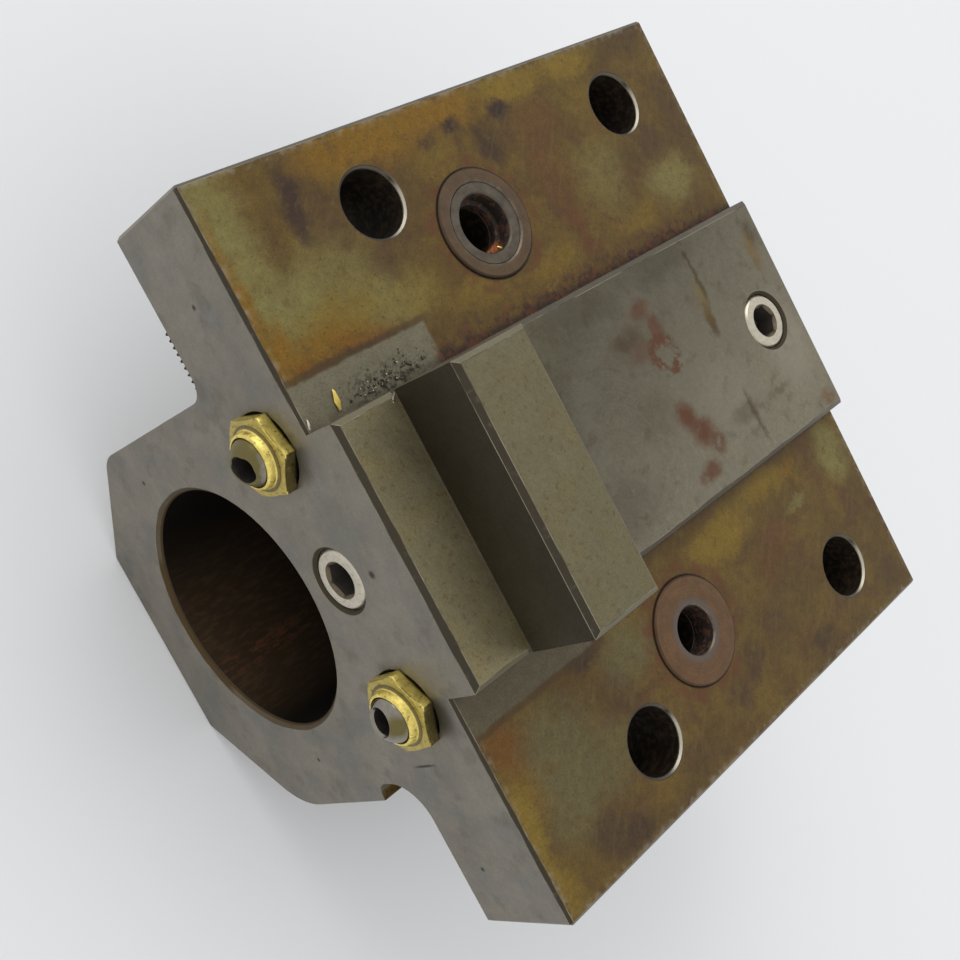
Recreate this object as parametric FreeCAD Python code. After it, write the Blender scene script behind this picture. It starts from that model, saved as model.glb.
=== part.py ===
import FreeCAD, Part
import math
import os
from FreeCAD import Placement, Rotation, Vector

# Boring bar holder for a lathe turret, bolted on by a flange with a stepped locating key.
# Millimetres. +Z is up, out of the mounting face. The origin is the middle of the bolt pattern
# on that face. +X runs along the bar bore from the tool side to the back, and +Y points to the
# side that carries the clamp screws. Left and right are as seen from the tool side: left is +Y.

# Flange
flange_depth = 125.0
flange_width = 139.0
flange_thick = 24.0
edge_break = 0.6

# Mounting bolts, M12, heads sunk in the far side of the flange
bolt_pitch_x = 70.0
bolt_pitch_y = 110.0
bolt_front_margin = 35.0
bolt_hole_d = 13.0
bolt_hole_chamfer = 0.5
bolt_head_d = 20.0
bolt_head_depth = 12.0

# Bar bore
bore_d = 50.8
bore_drop = 50.0
bore_chamfer = 1.0

# Boss around the bore, measured from the bore axis
boss_screw_side = 38.5
boss_plain_side = 43.0
boss_floor = 38.7
boss_bevel_screw = 19.0
boss_bevel_plain = 21.0
boss_round_screw = 7.0
boss_round_plain = 16.0
boss_fillet = 4.0

# Milled relief between the boss and the flange, on the plain side
relief_round = 2.5
relief_lip = 0.9
relief_flat = 1.7
relief_fillet = 8.0

# Stepped key on the mounting face
key_width = 49.5
pad_length = 13.5
pad_height = 8.2
block_length = 17.0
block_height = 25.4
plateau_height = 4.2
key_chamfer = 1.0

# Coolant galleries, drilled in the flange
gallery_d = 8.0
gallery_drop = 13.2
port_from_front = 56.6
port_y = 43.7
port_drill_d = 9.6
key_drill_from_back = 12.0

# Screwed plugs in the gallery mouths, M12, hexagon socket
plug_d = 12.0
plug_length = 10.0
plug_hole_depth = 12.0
plug_chamfer = 0.6
plug_sink = 0.3
plug_socket = 6.0
plug_socket_depth = 5.0
plug_lead_in = 0.65
plug_countersink = 0.65

# Ports on the mounting face: a bush over a ring seal, and a sleeve in the left bush
bush_d = 21.6
bush_height = 5.6
bush_proud = 0.6
bush_edge = 0.4
bush_bore_d = 9.6
seal_cord = 2.0
seal_mean_d = 15.0
sleeve_d = 16.0
sleeve_bore_d = 11.6
sleeve_height = 3.5
sleeve_sink = 0.3

# Clamp screws, M10 with a hexagon socket and a cup point
clamp_count = 4
clamp_pitch = 28.0
clamp_front_margin = 20.0
clamp_d = 10.0
clamp_length = 30.0
clamp_tip_gap = 0.4
clamp_chamfer = 1.0
clamp_socket = 5.0
clamp_socket_depth = 6.0
clamp_cup_d = 5.0
clamp_cup_depth = 1.2
clamp_countersink = 0.8

# Swivelling coolant nozzles in the tool side face
nozzle_y = 25.0
nozzle_drop = 13.1
nozzle_hex = 14.0
nozzle_hex_height = 2.7
nozzle_hex_crown = 0.6
nozzle_hex_crown_width = 0.75
nozzle_hex_turn_left = 41.5
nozzle_hex_turn_right = 27.0
nozzle_shank_d = 13.2
nozzle_shank_length = 10.0
nozzle_shank_chamfer = 0.8
nozzle_hole_depth = 11.5
nozzle_countersink = 1.0
collar_height = 1.7
collar_wall = 0.5
collar_lip = 0.25
collar_taper = 0.35
ball_d = 9.6
ball_centre_out = 2.4
ball_play = 0.15
ball_bore_d = 4.8
ball_flat = 3.85
ball_tilt_left = 12.0
ball_tilt_right = 11.5
ball_aim_left = 146.0
ball_aim_right = 352.0
seat_bore_d = 5.6
seat_length = 3.2
seat_behind_ball = 0.8
seat_play = 0.1
retainer_length = 3.2
retainer_slot = 1.2

# Radial clearance of every screwed piece in its hole
thread_fit = 0.05

# Places worked out from the sizes above
front_x = -bolt_front_margin - bolt_pitch_x / 2
back_x = front_x + flange_depth
floor_z = -bore_drop - boss_floor
port_x = front_x + port_from_front
key_drill_x = back_x - key_drill_from_back
block_x = front_x + pad_length
plateau_x = block_x + block_length

# How far a cutting shape runs on past the surface it cuts
past = flange_thick / 5

OUT = Vector(0, 0, 1)
TO_FRONT = Vector(-1, 0, 0)
TO_BACK = Vector(1, 0, 0)
TO_LEFT = Vector(0, 1, 0)
TO_RIGHT = Vector(0, -1, 0)
DOWN = Vector(0, 0, -1)


def turned(profile):
    """Solid of revolution about Z from (radius, height) points."""
    points = [Vector(r, 0, h) for r, h in profile]
    points.append(points[0])
    face = Part.Face(Part.makePolygon(points))
    return face.revolve(Vector(0, 0, 0), OUT, 360)


def placed(shape, at, along):
    """Turns local +Z to the direction along, and moves the local origin to at."""
    moved = shape.copy()
    moved.Placement = Placement(at, Rotation(OUT, along))
    return moved


def drilled(diameter, depth, countersink=0.0):
    """Tool for a hole from a mouth at the local origin, down local -Z."""
    r = diameter / 2
    mouth = r + countersink
    return turned([(0, past), (mouth, past), (mouth, 0), (r, -countersink), (r, -depth), (0, -depth)])


def hexagon(across_flats, height):
    """Hexagonal prism up local +Z, with one corner on local +X."""
    corner = across_flats / math.sqrt(3)
    points = []
    for i in range(7):
        angle = math.radians(60 * i)
        points.append(Vector(corner * math.cos(angle), corner * math.sin(angle), 0))
    return Part.Face(Part.makePolygon(points)).extrude(Vector(0, 0, height))


def corner_arc(before, corner, after, radius):
    """Tangent points and middle of the round at one corner of an outline."""
    to_before = (before - corner).normalize()
    to_after = (after - corner).normalize()
    half = to_before.getAngle(to_after) / 2
    start = corner + to_before * (radius / math.tan(half))
    end = corner + to_after * (radius / math.tan(half))
    inward = (to_before + to_after).normalize()
    middle = corner + inward * (radius / math.sin(half) - radius)
    return start, middle, end


def rounded_face(corners):
    """Face bounded by straight runs between (y, z, radius) corners, in the YZ plane."""
    places = [Vector(0, y, z) for y, z, radius in corners]
    edges = []
    last = None
    first = None
    for i, (y, z, radius) in enumerate(corners):
        if radius > 0:
            start, middle, end = corner_arc(places[i - 1], places[i], places[(i + 1) % len(places)], radius)
            arc = Part.Arc(start, middle, end).toShape()
        else:
            start = places[i]
            end = places[i]
            arc = None
        if last is not None:
            edges.append(Part.LineSegment(last, start).toShape())
        else:
            first = start
        if arc is not None:
            edges.append(arc)
        last = end
    edges.append(Part.LineSegment(last, first).toShape())
    return Part.Face(Part.Wire(edges))


def edges_where(shape, test):
    """Edges whose two ends and middle all pass the test."""
    found = []
    for edge in shape.Edges:
        middle = edge.valueAt((edge.FirstParameter + edge.LastParameter) / 2)
        points = [vertex.Point for vertex in edge.Vertexes]
        points.append(middle)
        if all(test(point) for point in points):
            found.append(edge)
    return found


def near(a, b):
    return abs(a - b) < 1e-6


def flange_and_boss():
    """One outline of flange and boss across the bore, run through the full depth."""
    half = flange_width / 2
    under = -flange_thick
    relief_floor = -boss_plain_side + relief_round + relief_lip
    relief_end = under - relief_fillet - relief_flat - relief_round
    corners = [
        (half, 0, 0),
        (half, under, 0),
        (boss_screw_side, under, boss_fillet),
        (boss_screw_side, floor_z + boss_bevel_screw, boss_round_screw),
        (boss_screw_side - boss_bevel_screw, floor_z, 0),
        (-boss_plain_side + boss_bevel_plain, floor_z, 0),
        (-boss_plain_side, floor_z + boss_bevel_plain, boss_round_plain),
        (-boss_plain_side, relief_end, 0),
        (relief_floor, relief_end, relief_round),
        (relief_floor, under, relief_fillet),
        (-half, under, 0),
        (-half, 0, 0),
    ]
    solid = rounded_face(corners).extrude(Vector(flange_depth, 0, 0))
    solid.translate(Vector(front_x, 0, 0))

    def on_rim(p):
        outer_end = near(abs(p.y), half)
        over_face = near(p.z, 0)
        at_mouth = near(p.x, front_x) or near(p.x, back_x)
        return (over_face and (outer_end or at_mouth)) or (outer_end and (at_mouth or near(p.z, under)))

    return solid.makeChamfer(edge_break, edges_where(solid, on_rim))


def stepped_key():
    """Pad, cross block and plateau in one profile along the bore, sunk into the flange."""
    root = -2 * edge_break
    steps = [
        (front_x, root),
        (front_x, pad_height),
        (block_x, pad_height),
        (block_x, block_height),
        (plateau_x, block_height),
        (plateau_x, plateau_height),
        (back_x, plateau_height),
        (back_x, root),
    ]
    points = [Vector(x, -key_width / 2, z) for x, z in steps]
    points.append(points[0])
    solid = Part.Face(Part.makePolygon(points)).extrude(Vector(0, key_width, 0))

    def outer_top(p):
        on_side = near(abs(p.y), key_width / 2)
        on_pad = near(p.z, pad_height) and (near(p.x, front_x) or (on_side and p.x < block_x + 1e-6))
        on_block = near(p.z, block_height)
        on_plateau = near(p.z, plateau_height) and (near(p.x, back_x) or (on_side and p.x > plateau_x - 1e-6))
        return on_pad or on_block or on_plateau

    return solid.makeChamfer(key_chamfer, edges_where(solid, outer_top))


def bar_bore():
    r = bore_d / 2
    mouth = r + bore_chamfer
    end = flange_depth
    profile = [
        (0, -past),
        (mouth, -past),
        (mouth, 0),
        (r, bore_chamfer),
        (r, end - bore_chamfer),
        (mouth, end),
        (mouth, end + past),
        (0, end + past),
    ]
    return placed(turned(profile), Vector(front_x, 0, -bore_drop), TO_BACK)


def bolt_holes():
    """Four clearance holes, chamfered on the mounting face and counterbored for the heads."""
    shank = drilled(bolt_hole_d, flange_thick + past, bolt_hole_chamfer)
    head_bottom = bolt_head_depth - flange_thick
    head = turned([
        (0, head_bottom),
        (bolt_head_d / 2, head_bottom),
        (bolt_head_d / 2, floor_z),
        (0, floor_z),
    ])
    tools = []
    for x in (-bolt_pitch_x / 2, bolt_pitch_x / 2):
        for y in (-bolt_pitch_y / 2, bolt_pitch_y / 2):
            tools.append(placed(shank.fuse(head), Vector(x, y, 0), OUT))
    return tools


def plug_mouths():
    """Each screwed plug as (name, mouth on the surface, direction out of it)."""
    end = flange_width / 2
    return [
        ("gallery_plug_front", Vector(front_x, 0, -gallery_drop), TO_FRONT),
        ("gallery_plug_key", Vector(key_drill_x, 0, plateau_height), OUT),
        ("gallery_plug_left", Vector(port_x, end, -gallery_drop), TO_LEFT),
        ("gallery_plug_right", Vector(port_x, -end, -gallery_drop), TO_RIGHT),
    ]


def galleries():
    """Cross drilling between the ports, nozzle and bar feeds along the bore, and port drillings."""
    across = placed(drilled(gallery_d, flange_width), Vector(port_x, flange_width / 2, -gallery_drop), TO_LEFT)
    middle = placed(drilled(gallery_d, key_drill_x - front_x), Vector(front_x, 0, -gallery_drop), TO_FRONT)
    down = placed(drilled(gallery_d, plateau_height + bore_drop), Vector(key_drill_x, 0, plateau_height), OUT)
    tools = [across, middle, down]
    for side in (-1, 1):
        feed = drilled(gallery_d, port_from_front)
        tools.append(placed(feed, Vector(front_x, side * nozzle_y, -nozzle_drop), TO_FRONT))
        port = drilled(port_drill_d, gallery_drop)
        tools.append(placed(port, Vector(port_x, side * port_y, 0), OUT))
        pocket = drilled(bush_d + 2 * thread_fit, bush_height - bush_proud)
        tools.append(placed(pocket, Vector(port_x, side * port_y, 0), OUT))
        mouth = drilled(nozzle_shank_d, nozzle_hole_depth, nozzle_countersink)
        tools.append(placed(mouth, Vector(front_x, side * nozzle_y, -nozzle_drop), TO_FRONT))
    for name, at, out in plug_mouths():
        tools.append(placed(drilled(plug_d, plug_hole_depth, plug_countersink), at, out))
    return tools


def clamp_places():
    """Mouths of the clamp screw holes on the boss side."""
    start = front_x + clamp_front_margin
    return [Vector(start + i * clamp_pitch, boss_screw_side, -bore_drop) for i in range(clamp_count)]


def clamp_holes():
    tool = drilled(clamp_d, boss_screw_side, clamp_countersink)
    return [placed(tool, at, TO_LEFT) for at in clamp_places()]


def holder_body():
    block = flange_and_boss().fuse(stepped_key()).removeSplitter()
    tools = [bar_bore()] + bolt_holes() + galleries() + clamp_holes()
    return block.cut(tools)


def screwed_plug():
    """Headless plug with a hexagon socket, its outer end at the local origin."""
    r = plug_d / 2 - thread_fit
    blank = turned([
        (0, 0),
        (r - plug_chamfer, 0),
        (r, -plug_chamfer),
        (r, plug_chamfer - plug_length),
        (r - plug_chamfer, -plug_length),
        (0, -plug_length),
    ])
    socket = hexagon(plug_socket, plug_socket_depth + past)
    socket.translate(Vector(0, 0, -plug_socket_depth))
    mouth = plug_socket / 2 + plug_lead_in
    lead_in = turned([(0, past), (mouth, past), (mouth, 0), (0, -mouth)])
    return blank.cut([socket, lead_in])


def clamp_screw():
    """Set screw with its socket end at the local origin and its cup point down local -Z."""
    r = clamp_d / 2 - thread_fit
    tip = -clamp_length
    blank = turned([
        (0, 0),
        (r - clamp_chamfer, 0),
        (r, -clamp_chamfer),
        (r, tip + clamp_chamfer),
        (r - clamp_chamfer, tip),
        (clamp_cup_d / 2, tip),
        (0, tip + clamp_cup_depth),
    ])
    socket = hexagon(clamp_socket, clamp_socket_depth + past)
    socket.translate(Vector(0, 0, -clamp_socket_depth))
    return blank.cut(socket)


def port_bush(bore):
    """Ring that stands a little proud of the mounting face, mouth plane at the local origin."""
    r = bush_d / 2
    top = bush_proud
    base = bush_proud - bush_height
    groove = Part.makeTorus(seal_mean_d / 2, seal_cord / 2 + thread_fit)
    groove.translate(Vector(0, 0, base))
    ring = turned([
        (bore / 2, base),
        (r, base),
        (r, top - bush_edge),
        (r - bush_edge, top),
        (bore / 2, top),
    ])
    return ring.cut(groove)


def sleeve_step():
    """Tool that opens the left bush for its sleeve, with the bush's edge broken."""
    step = drilled(sleeve_d + 2 * thread_fit, sleeve_height + sleeve_sink, bush_edge)
    step.translate(Vector(0, 0, bush_proud))
    return step


def port_sleeve():
    top = bush_proud - sleeve_sink
    base = top - sleeve_height
    return turned([
        (sleeve_bore_d / 2, base),
        (sleeve_d / 2, base),
        (sleeve_d / 2, top),
        (sleeve_bore_d / 2, top),
    ])


def port_seal():
    """Ring seal, half in the bush and squeezed flat on the pocket floor."""
    base = bush_proud - bush_height
    ring = Part.makeTorus(seal_mean_d / 2, seal_cord / 2)
    ring.translate(Vector(0, 0, base))
    over = drilled(bush_d, 0)
    over.translate(Vector(0, 0, base))
    return ring.common(over)


def nozzle_body():
    """Hexagon, shank and crimped collar, with the tool side face at the local origin plane."""
    corner = nozzle_hex / math.sqrt(3)
    hex_head = hexagon(nozzle_hex, nozzle_hex_height)
    dome = turned([
        (0, 0),
        (corner, 0),
        (corner, nozzle_hex_height - nozzle_hex_crown),
        (corner - nozzle_hex_crown_width, nozzle_hex_height),
        (0, nozzle_hex_height),
    ])
    cavity_r = ball_d / 2 + ball_play
    lip_z = nozzle_hex_height + collar_height
    lip_r = math.sqrt(cavity_r ** 2 - (lip_z - ball_centre_out) ** 2)
    base_r = cavity_r + collar_wall
    collar = turned([
        (0, 0),
        (base_r, 0),
        (base_r, nozzle_hex_height),
        (base_r - collar_taper, lip_z - collar_taper),
        (lip_r + collar_lip, lip_z),
        (0, lip_z),
    ])
    shank_r = nozzle_shank_d / 2 - thread_fit
    shank = turned([
        (0, 0),
        (shank_r, 0),
        (shank_r, nozzle_shank_chamfer - nozzle_shank_length),
        (shank_r - nozzle_shank_chamfer, -nozzle_shank_length),
        (0, -nozzle_shank_length),
    ])
    cavity = Part.makeSphere(cavity_r, Vector(0, 0, ball_centre_out))
    tunnel = Part.makeCylinder(cavity_r, nozzle_shank_length + ball_centre_out, Vector(0, 0, -nozzle_shank_length))
    return hex_head.common(dome).fuse([collar, shank]).cut([cavity, tunnel])


def nozzle_ball():
    """Ball with its jet along local +Z and its centre at the local origin."""
    r = ball_d / 2
    ball = Part.makeSphere(r)
    jet = Part.makeCylinder(ball_bore_d / 2, 2 * ball_d, Vector(0, 0, -ball_d))
    face = Part.makeBox(2 * r, 2 * r, r, Vector(-r, -r, ball_flat))
    return ball.cut([jet, face])


def seat_base():
    """Height of the seat ring's rear face in the nozzle body."""
    return ball_centre_out - ball_d / 2 - seat_behind_ball


def nozzle_seat():
    """Ring behind the ball, cupped to its radius."""
    r = ball_d / 2 + ball_play - seat_play
    ring = turned([
        (seat_bore_d / 2, seat_base()),
        (r, seat_base()),
        (r, seat_base() + seat_length),
        (seat_bore_d / 2, seat_base() + seat_length),
    ])
    cup = Part.makeSphere(ball_d / 2 + seat_play, Vector(0, 0, ball_centre_out))
    return ring.cut(cup)


def nozzle_retainer():
    """Slotted hollow screw that holds the seat ring up to the ball."""
    r = ball_d / 2 + ball_play - thread_fit
    top = seat_base() - seat_play
    base = top - retainer_length
    ring = turned([(seat_bore_d / 2, base), (r, base), (r, top), (seat_bore_d / 2, top)])
    slot = Part.makeBox(2 * r, retainer_slot, retainer_slot, Vector(-r, -retainer_slot / 2, base))
    return ring.cut(slot)


def facing_front(shape, side, turn=0.0):
    """Places a nozzle piece: local +Z out of the tool side face, local +X turned from +Y."""
    moved = shape.copy()
    moved.rotate(Vector(0, 0, 0), OUT, 90 - turn)
    return placed(moved, Vector(front_x, side * nozzle_y, -nozzle_drop), TO_FRONT)


def aimed_ball(side, tilt, aim):
    """Ball with its jet tilted off the nozzle axis, toward the angle aim from +Y to +Z."""
    off = math.sin(math.radians(tilt))
    jet = Vector(
        -math.cos(math.radians(tilt)),
        off * math.cos(math.radians(aim)),
        off * math.sin(math.radians(aim)),
    )
    centre = Vector(front_x - ball_centre_out, side * nozzle_y, -nozzle_drop)
    return placed(nozzle_ball(), centre, jet)


def nozzle_nodes(label, side, hex_turn, tilt, aim):
    return {
        "nozzle_body_" + label: facing_front(nozzle_body(), side, hex_turn),
        "nozzle_seat_" + label: facing_front(nozzle_seat(), side),
        "nozzle_retainer_" + label: facing_front(nozzle_retainer(), side),
        "nozzle_ball_" + label: aimed_ball(side, tilt, aim),
    }


def port_nodes():
    left = Vector(port_x, port_y, 0)
    right = Vector(port_x, -port_y, 0)
    return {
        "port_bush_left": placed(port_bush(bush_bore_d).cut(sleeve_step()), left, OUT),
        "port_bush_right": placed(port_bush(bush_bore_d), right, OUT),
        "port_sleeve_left": placed(port_sleeve(), left, OUT),
        "port_seal_left": placed(port_seal(), left, OUT),
        "port_seal_right": placed(port_seal(), right, OUT),
    }


def plug_nodes():
    nodes = {}
    for name, at, out in plug_mouths():
        nodes[name] = placed(screwed_plug(), at - out * plug_sink, out)
    return nodes


def clamp_nodes():
    """Clamp screws backed out, each with its point just short of the bore."""
    tip_y = bore_d / 2 + clamp_tip_gap
    nodes = {}
    for i, mouth in enumerate(clamp_places()):
        at = Vector(mouth.x, tip_y + clamp_length, mouth.z)
        nodes["clamp_screw_%d" % (i + 1)] = placed(clamp_screw(), at, TO_LEFT)
    return nodes


def main():
    nodes = {"holder_body": holder_body()}
    nodes.update(clamp_nodes())
    nodes.update(plug_nodes())
    nodes.update(port_nodes())
    nodes.update(nozzle_nodes("left", 1, nozzle_hex_turn_left, ball_tilt_left, ball_aim_left))
    nodes.update(nozzle_nodes("right", -1, nozzle_hex_turn_right, ball_tilt_right, ball_aim_right))
    os.makedirs("parts", exist_ok=True)
    for name, shape in nodes.items():
        shape.exportStep("parts/%s.step" % name)


main()
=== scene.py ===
import math
import random

import bmesh
import bpy
from mathutils import Matrix, Vector


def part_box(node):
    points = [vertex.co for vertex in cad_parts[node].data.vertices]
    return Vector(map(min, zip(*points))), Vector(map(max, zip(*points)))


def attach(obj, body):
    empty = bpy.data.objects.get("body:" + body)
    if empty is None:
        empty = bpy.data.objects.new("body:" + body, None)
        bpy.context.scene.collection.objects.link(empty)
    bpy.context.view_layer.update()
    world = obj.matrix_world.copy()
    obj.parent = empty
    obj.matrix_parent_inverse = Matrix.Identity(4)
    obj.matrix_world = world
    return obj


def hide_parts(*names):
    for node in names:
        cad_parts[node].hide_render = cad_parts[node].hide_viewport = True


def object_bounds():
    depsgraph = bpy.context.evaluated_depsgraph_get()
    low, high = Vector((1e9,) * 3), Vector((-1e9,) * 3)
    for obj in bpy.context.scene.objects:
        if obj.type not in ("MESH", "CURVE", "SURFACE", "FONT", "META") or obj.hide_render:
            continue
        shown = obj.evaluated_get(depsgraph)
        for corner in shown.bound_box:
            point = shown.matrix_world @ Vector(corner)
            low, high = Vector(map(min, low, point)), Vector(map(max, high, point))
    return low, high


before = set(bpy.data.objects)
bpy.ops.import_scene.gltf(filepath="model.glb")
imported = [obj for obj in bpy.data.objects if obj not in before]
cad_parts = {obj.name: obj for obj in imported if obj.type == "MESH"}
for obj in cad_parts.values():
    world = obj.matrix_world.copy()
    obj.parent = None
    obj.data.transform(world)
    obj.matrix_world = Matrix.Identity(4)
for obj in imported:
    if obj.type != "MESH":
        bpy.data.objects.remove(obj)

bl_info = {
    "name": "Boring Bar Holder",
    "version": (1, 0, 0),
    "blender": (4, 5, 0),
    "location": "View3D > Sidebar > Bar Holder",
    "description": "Builds a used boring bar holder with its screws, coolant ports and nozzles",
    "category": "Add Mesh",
}

CAD_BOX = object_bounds()
MM = 0.001
UP = Vector((0, 0, 1))
TO_FRONT = Vector((-1, 0, 0))
TO_LEFT = Vector((0, 1, 0))
TO_RIGHT = Vector((0, -1, 0))

# Places on the body, in millimetres
FRONT_X = -70.0
BACK_X = 55.0
PORT = (-13.4, 43.7)
KEY_PLUG = (43.0, 0.0)
FRONT_PLUG = (0.0, -13.2)
NOZZLES = ((25.0, -13.1), (-25.0, -13.1))
BORE_Z = -50.0
CLAMP_SCREWS = (-50.0, -22.0, 6.0, 34.0)
BOLT = (35.0, 55.0)
HALF_WIDTH = 69.5
HALF_KEY = 24.75

# Radii of the openings' mouths, in millimetres
PLUG_MOUTH = 6.75
NOZZLE_MOUTH = 7.75
PORT_MOUTH = 11.0
BOLT_MOUTH = 7.3


class HolderSizes(bpy.types.PropertyGroup):
    edge_width: bpy.props.FloatProperty(
        name="Edge width",
        description="Width of the narrow strip along the body's sharp outer edges",
        default=0.00014, unit="LENGTH")
    soft_edge: bpy.props.FloatProperty(
        name="Soft edge",
        description="Width of the rounding on the small turned pieces",
        default=0.00016, unit="LENGTH")
    thread_pitch: bpy.props.FloatProperty(
        name="Thread pitch",
        description="Distance between two crests of the clamp screws' thread",
        default=0.0015, unit="LENGTH")
    thread_depth: bpy.props.FloatProperty(
        name="Thread depth",
        description="Height of the clamp screws' thread",
        default=0.00088, unit="LENGTH")
    screw_chamfer: bpy.props.FloatProperty(
        name="Screw chamfer",
        description="Chamfer at both ends of a clamp screw",
        default=0.00105, unit="LENGTH")
    around: bpy.props.IntProperty(
        name="Steps around",
        description="Number of faces round each small turned piece",
        default=96)


def colour_property(name, description, default):
    return bpy.props.FloatVectorProperty(
        name=name, description=description, default=default, subtype="COLOR")


class HolderColours(bpy.types.PropertyGroup):
    steel: colour_property("Steel", "Clean machined steel", (0.232, 0.212, 0.174))
    cool: colour_property("Cool steel", "Steel with a thin bluish oil film", (0.180, 0.174, 0.156))
    worn: colour_property("Worn edge", "Steel rubbed bright along an edge", (0.340, 0.310, 0.245))
    key: colour_property("Key steel", "Oily steel of the key's upper faces", (0.165, 0.146, 0.084))
    olive: colour_property("Olive", "Oil stain, olive brown", (0.104, 0.064, 0.020))
    pale: colour_property("Pale green", "Oil stain, thin and greenish", (0.196, 0.172, 0.060))
    sage: colour_property("Sage", "Oil stain, dull green", (0.122, 0.104, 0.048))
    gold: colour_property("Gold", "Oil stain, yellow olive", (0.196, 0.128, 0.022))
    ochre: colour_property("Ochre", "Oil stain, yellow brown", (0.192, 0.104, 0.015))
    orange: colour_property("Orange", "Oil stain, orange brown", (0.165, 0.066, 0.014))
    umber: colour_property("Umber", "Oil stain, dark brown", (0.072, 0.045, 0.024))
    plum: colour_property("Plum", "Oil stain, dark and reddish", (0.044, 0.028, 0.023))
    rust: colour_property("Rust", "Rust spots", (0.118, 0.044, 0.023))
    # Grime stands both for oily dirt and for painted shade in creases and corners, on the front chamfers
    # and beside the nozzles.
    grime_and_shade: colour_property("Grime", "Old dirty oil in edges and grooves", (0.066, 0.054, 0.036))
    # This dark colour stands both for dirt and for painted shade inside the drillings, the bore, the dents
    # and on the wall between pad and block.
    soot_and_shade: colour_property("Dirt", "Dirt in corners and holes", (0.014, 0.011, 0.008))
    brass: colour_property("Brass", "Nozzle brass", (0.790, 0.640, 0.175))
    # Nickel is also the colour of the painted glint on the bolt holes' chamfers.
    nickel: colour_property("Nickel", "Plating on the screwed plugs", (0.560, 0.515, 0.415))
    polish: colour_property("Polished steel", "Nozzle balls", (0.250, 0.232, 0.195))
    copper: colour_property("Port ring", "Brown face of the port rings", (0.130, 0.068, 0.029))
    black: colour_property("Black oxide", "Clamp screws", (0.060, 0.057, 0.052))


class HolderStage(bpy.types.PropertyGroup):
    floor_colour: bpy.props.FloatVectorProperty(
        name="Floor", description="Colour of the pale floor", default=(0.82, 0.83, 0.85), subtype="COLOR")
    sky_level: bpy.props.FloatProperty(
        name="Sky level", description="Brightness of the plain surrounding light", default=0.88)
    lamp_level: bpy.props.FloatProperty(
        name="Lamp level", description="Power of the large soft lamp, in watts", default=17.0)
    lens: bpy.props.FloatProperty(
        name="Lens", description="Focal length of the camera, in millimetres", default=50.57)


def sizes():
    return bpy.context.scene.holder_sizes


def colours():
    return bpy.context.scene.holder_colours


# Shader wiring


class Wiring:
    """Adds nodes to one shader tree and joins them."""

    def __init__(self, tree):
        self.tree = tree

    def put(self, socket, value):
        if isinstance(value, bpy.types.NodeSocket):
            self.tree.links.new(value, socket)
        elif socket.type == "RGBA":
            socket.default_value = (*value[:3], 1.0)
        else:
            socket.default_value = value

    def node(self, kind, values=(), **settings):
        made = self.tree.nodes.new(kind)
        for key, value in settings.items():
            setattr(made, key, value)
        for index, value in enumerate(values):
            if value is not None:
                self.put(made.inputs[index], value)
        return made

    def math(self, operation, *values, clamp=False):
        return self.node("ShaderNodeMath", values, operation=operation, use_clamp=clamp).outputs[0]

    def times(self, first, *others):
        for value in others:
            first = self.math("MULTIPLY", first, value)
        return first

    def most(self, first, *others):
        for value in others:
            first = self.math("MAXIMUM", first, value)
        return first

    def less(self, a, b):
        return self.math("SUBTRACT", a, b)

    def ramp(self, value, factor, base, clamp=False):
        """The value times a factor, plus a base."""
        return self.math("MULTIPLY_ADD", value, factor, base, clamp=clamp)

    def size(self, value):
        return self.math("ABSOLUTE", value)

    def vector(self, operation, *values, output=0):
        return self.node("ShaderNodeVectorMath", values, operation=operation).outputs[output]

    def split(self, vector):
        return self.node("ShaderNodeSeparateXYZ", (vector,)).outputs

    def join(self, x, y, z):
        return self.node("ShaderNodeCombineXYZ", (x, y, z)).outputs[0]

    def reach(self, a, a0, b, b0):
        """Distance of (a, b) from a fixed place (a0, b0)."""
        offset = self.join(self.less(a, a0), self.less(b, b0), 0.0)
        return self.vector("LENGTH", offset, output=1)

    def smooth(self, value, low, high):
        """0 at low, 1 at high, and a soft step between; low may be the larger."""
        values = (value, low, high, 0.0, 1.0)
        return self.node("ShaderNodeMapRange", values, interpolation_type="SMOOTHSTEP").outputs[0]

    def between(self, value, low, high, soft):
        """1 from low to high, falling off over soft outside."""
        return self.times(self.smooth(value, low - soft, low), self.smooth(value, high + soft, high))

    def disc(self, a, b, centre, radius, soft=0.15):
        """1 within a radius of a fixed place, falling off over soft inside it."""
        return self.smooth(self.reach(a, centre[0], b, centre[1]), radius, radius - soft)

    def mix(self, factor, a, b, blend="MIX"):
        made = self.node("ShaderNodeMix", (factor,), data_type="RGBA", blend_type=blend)
        self.put(made.inputs[6], a)
        self.put(made.inputs[7], b)
        return made.outputs[2]

    def cover(self, colour, over, *masks):
        """Lays one colour over another by the product of the masks."""
        return self.mix(self.times(*masks), colour, over)

    def noise(self, point, scale, detail=3.0, rough=0.55, output=0):
        return self.node("ShaderNodeTexNoise", (point, None, scale, detail, rough)).outputs[output]

    def cloud(self, point, scale, low, high, detail=3.0):
        """Noise cut to 0 at low and 1 at high."""
        return self.smooth(self.noise(point, scale, detail=detail), low, high)

    def lines(self, point, stretch, detail=3.0):
        """Noise drawn out along the directions with a small stretch."""
        return self.noise(self.vector("MULTIPLY", point, stretch), 1.0, detail, 0.65)

    def group(self, tree, **values):
        made = self.node("ShaderNodeGroup", node_tree=tree)
        for name, value in values.items():
            self.put(made.inputs[name], value)
        return made.outputs


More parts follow.
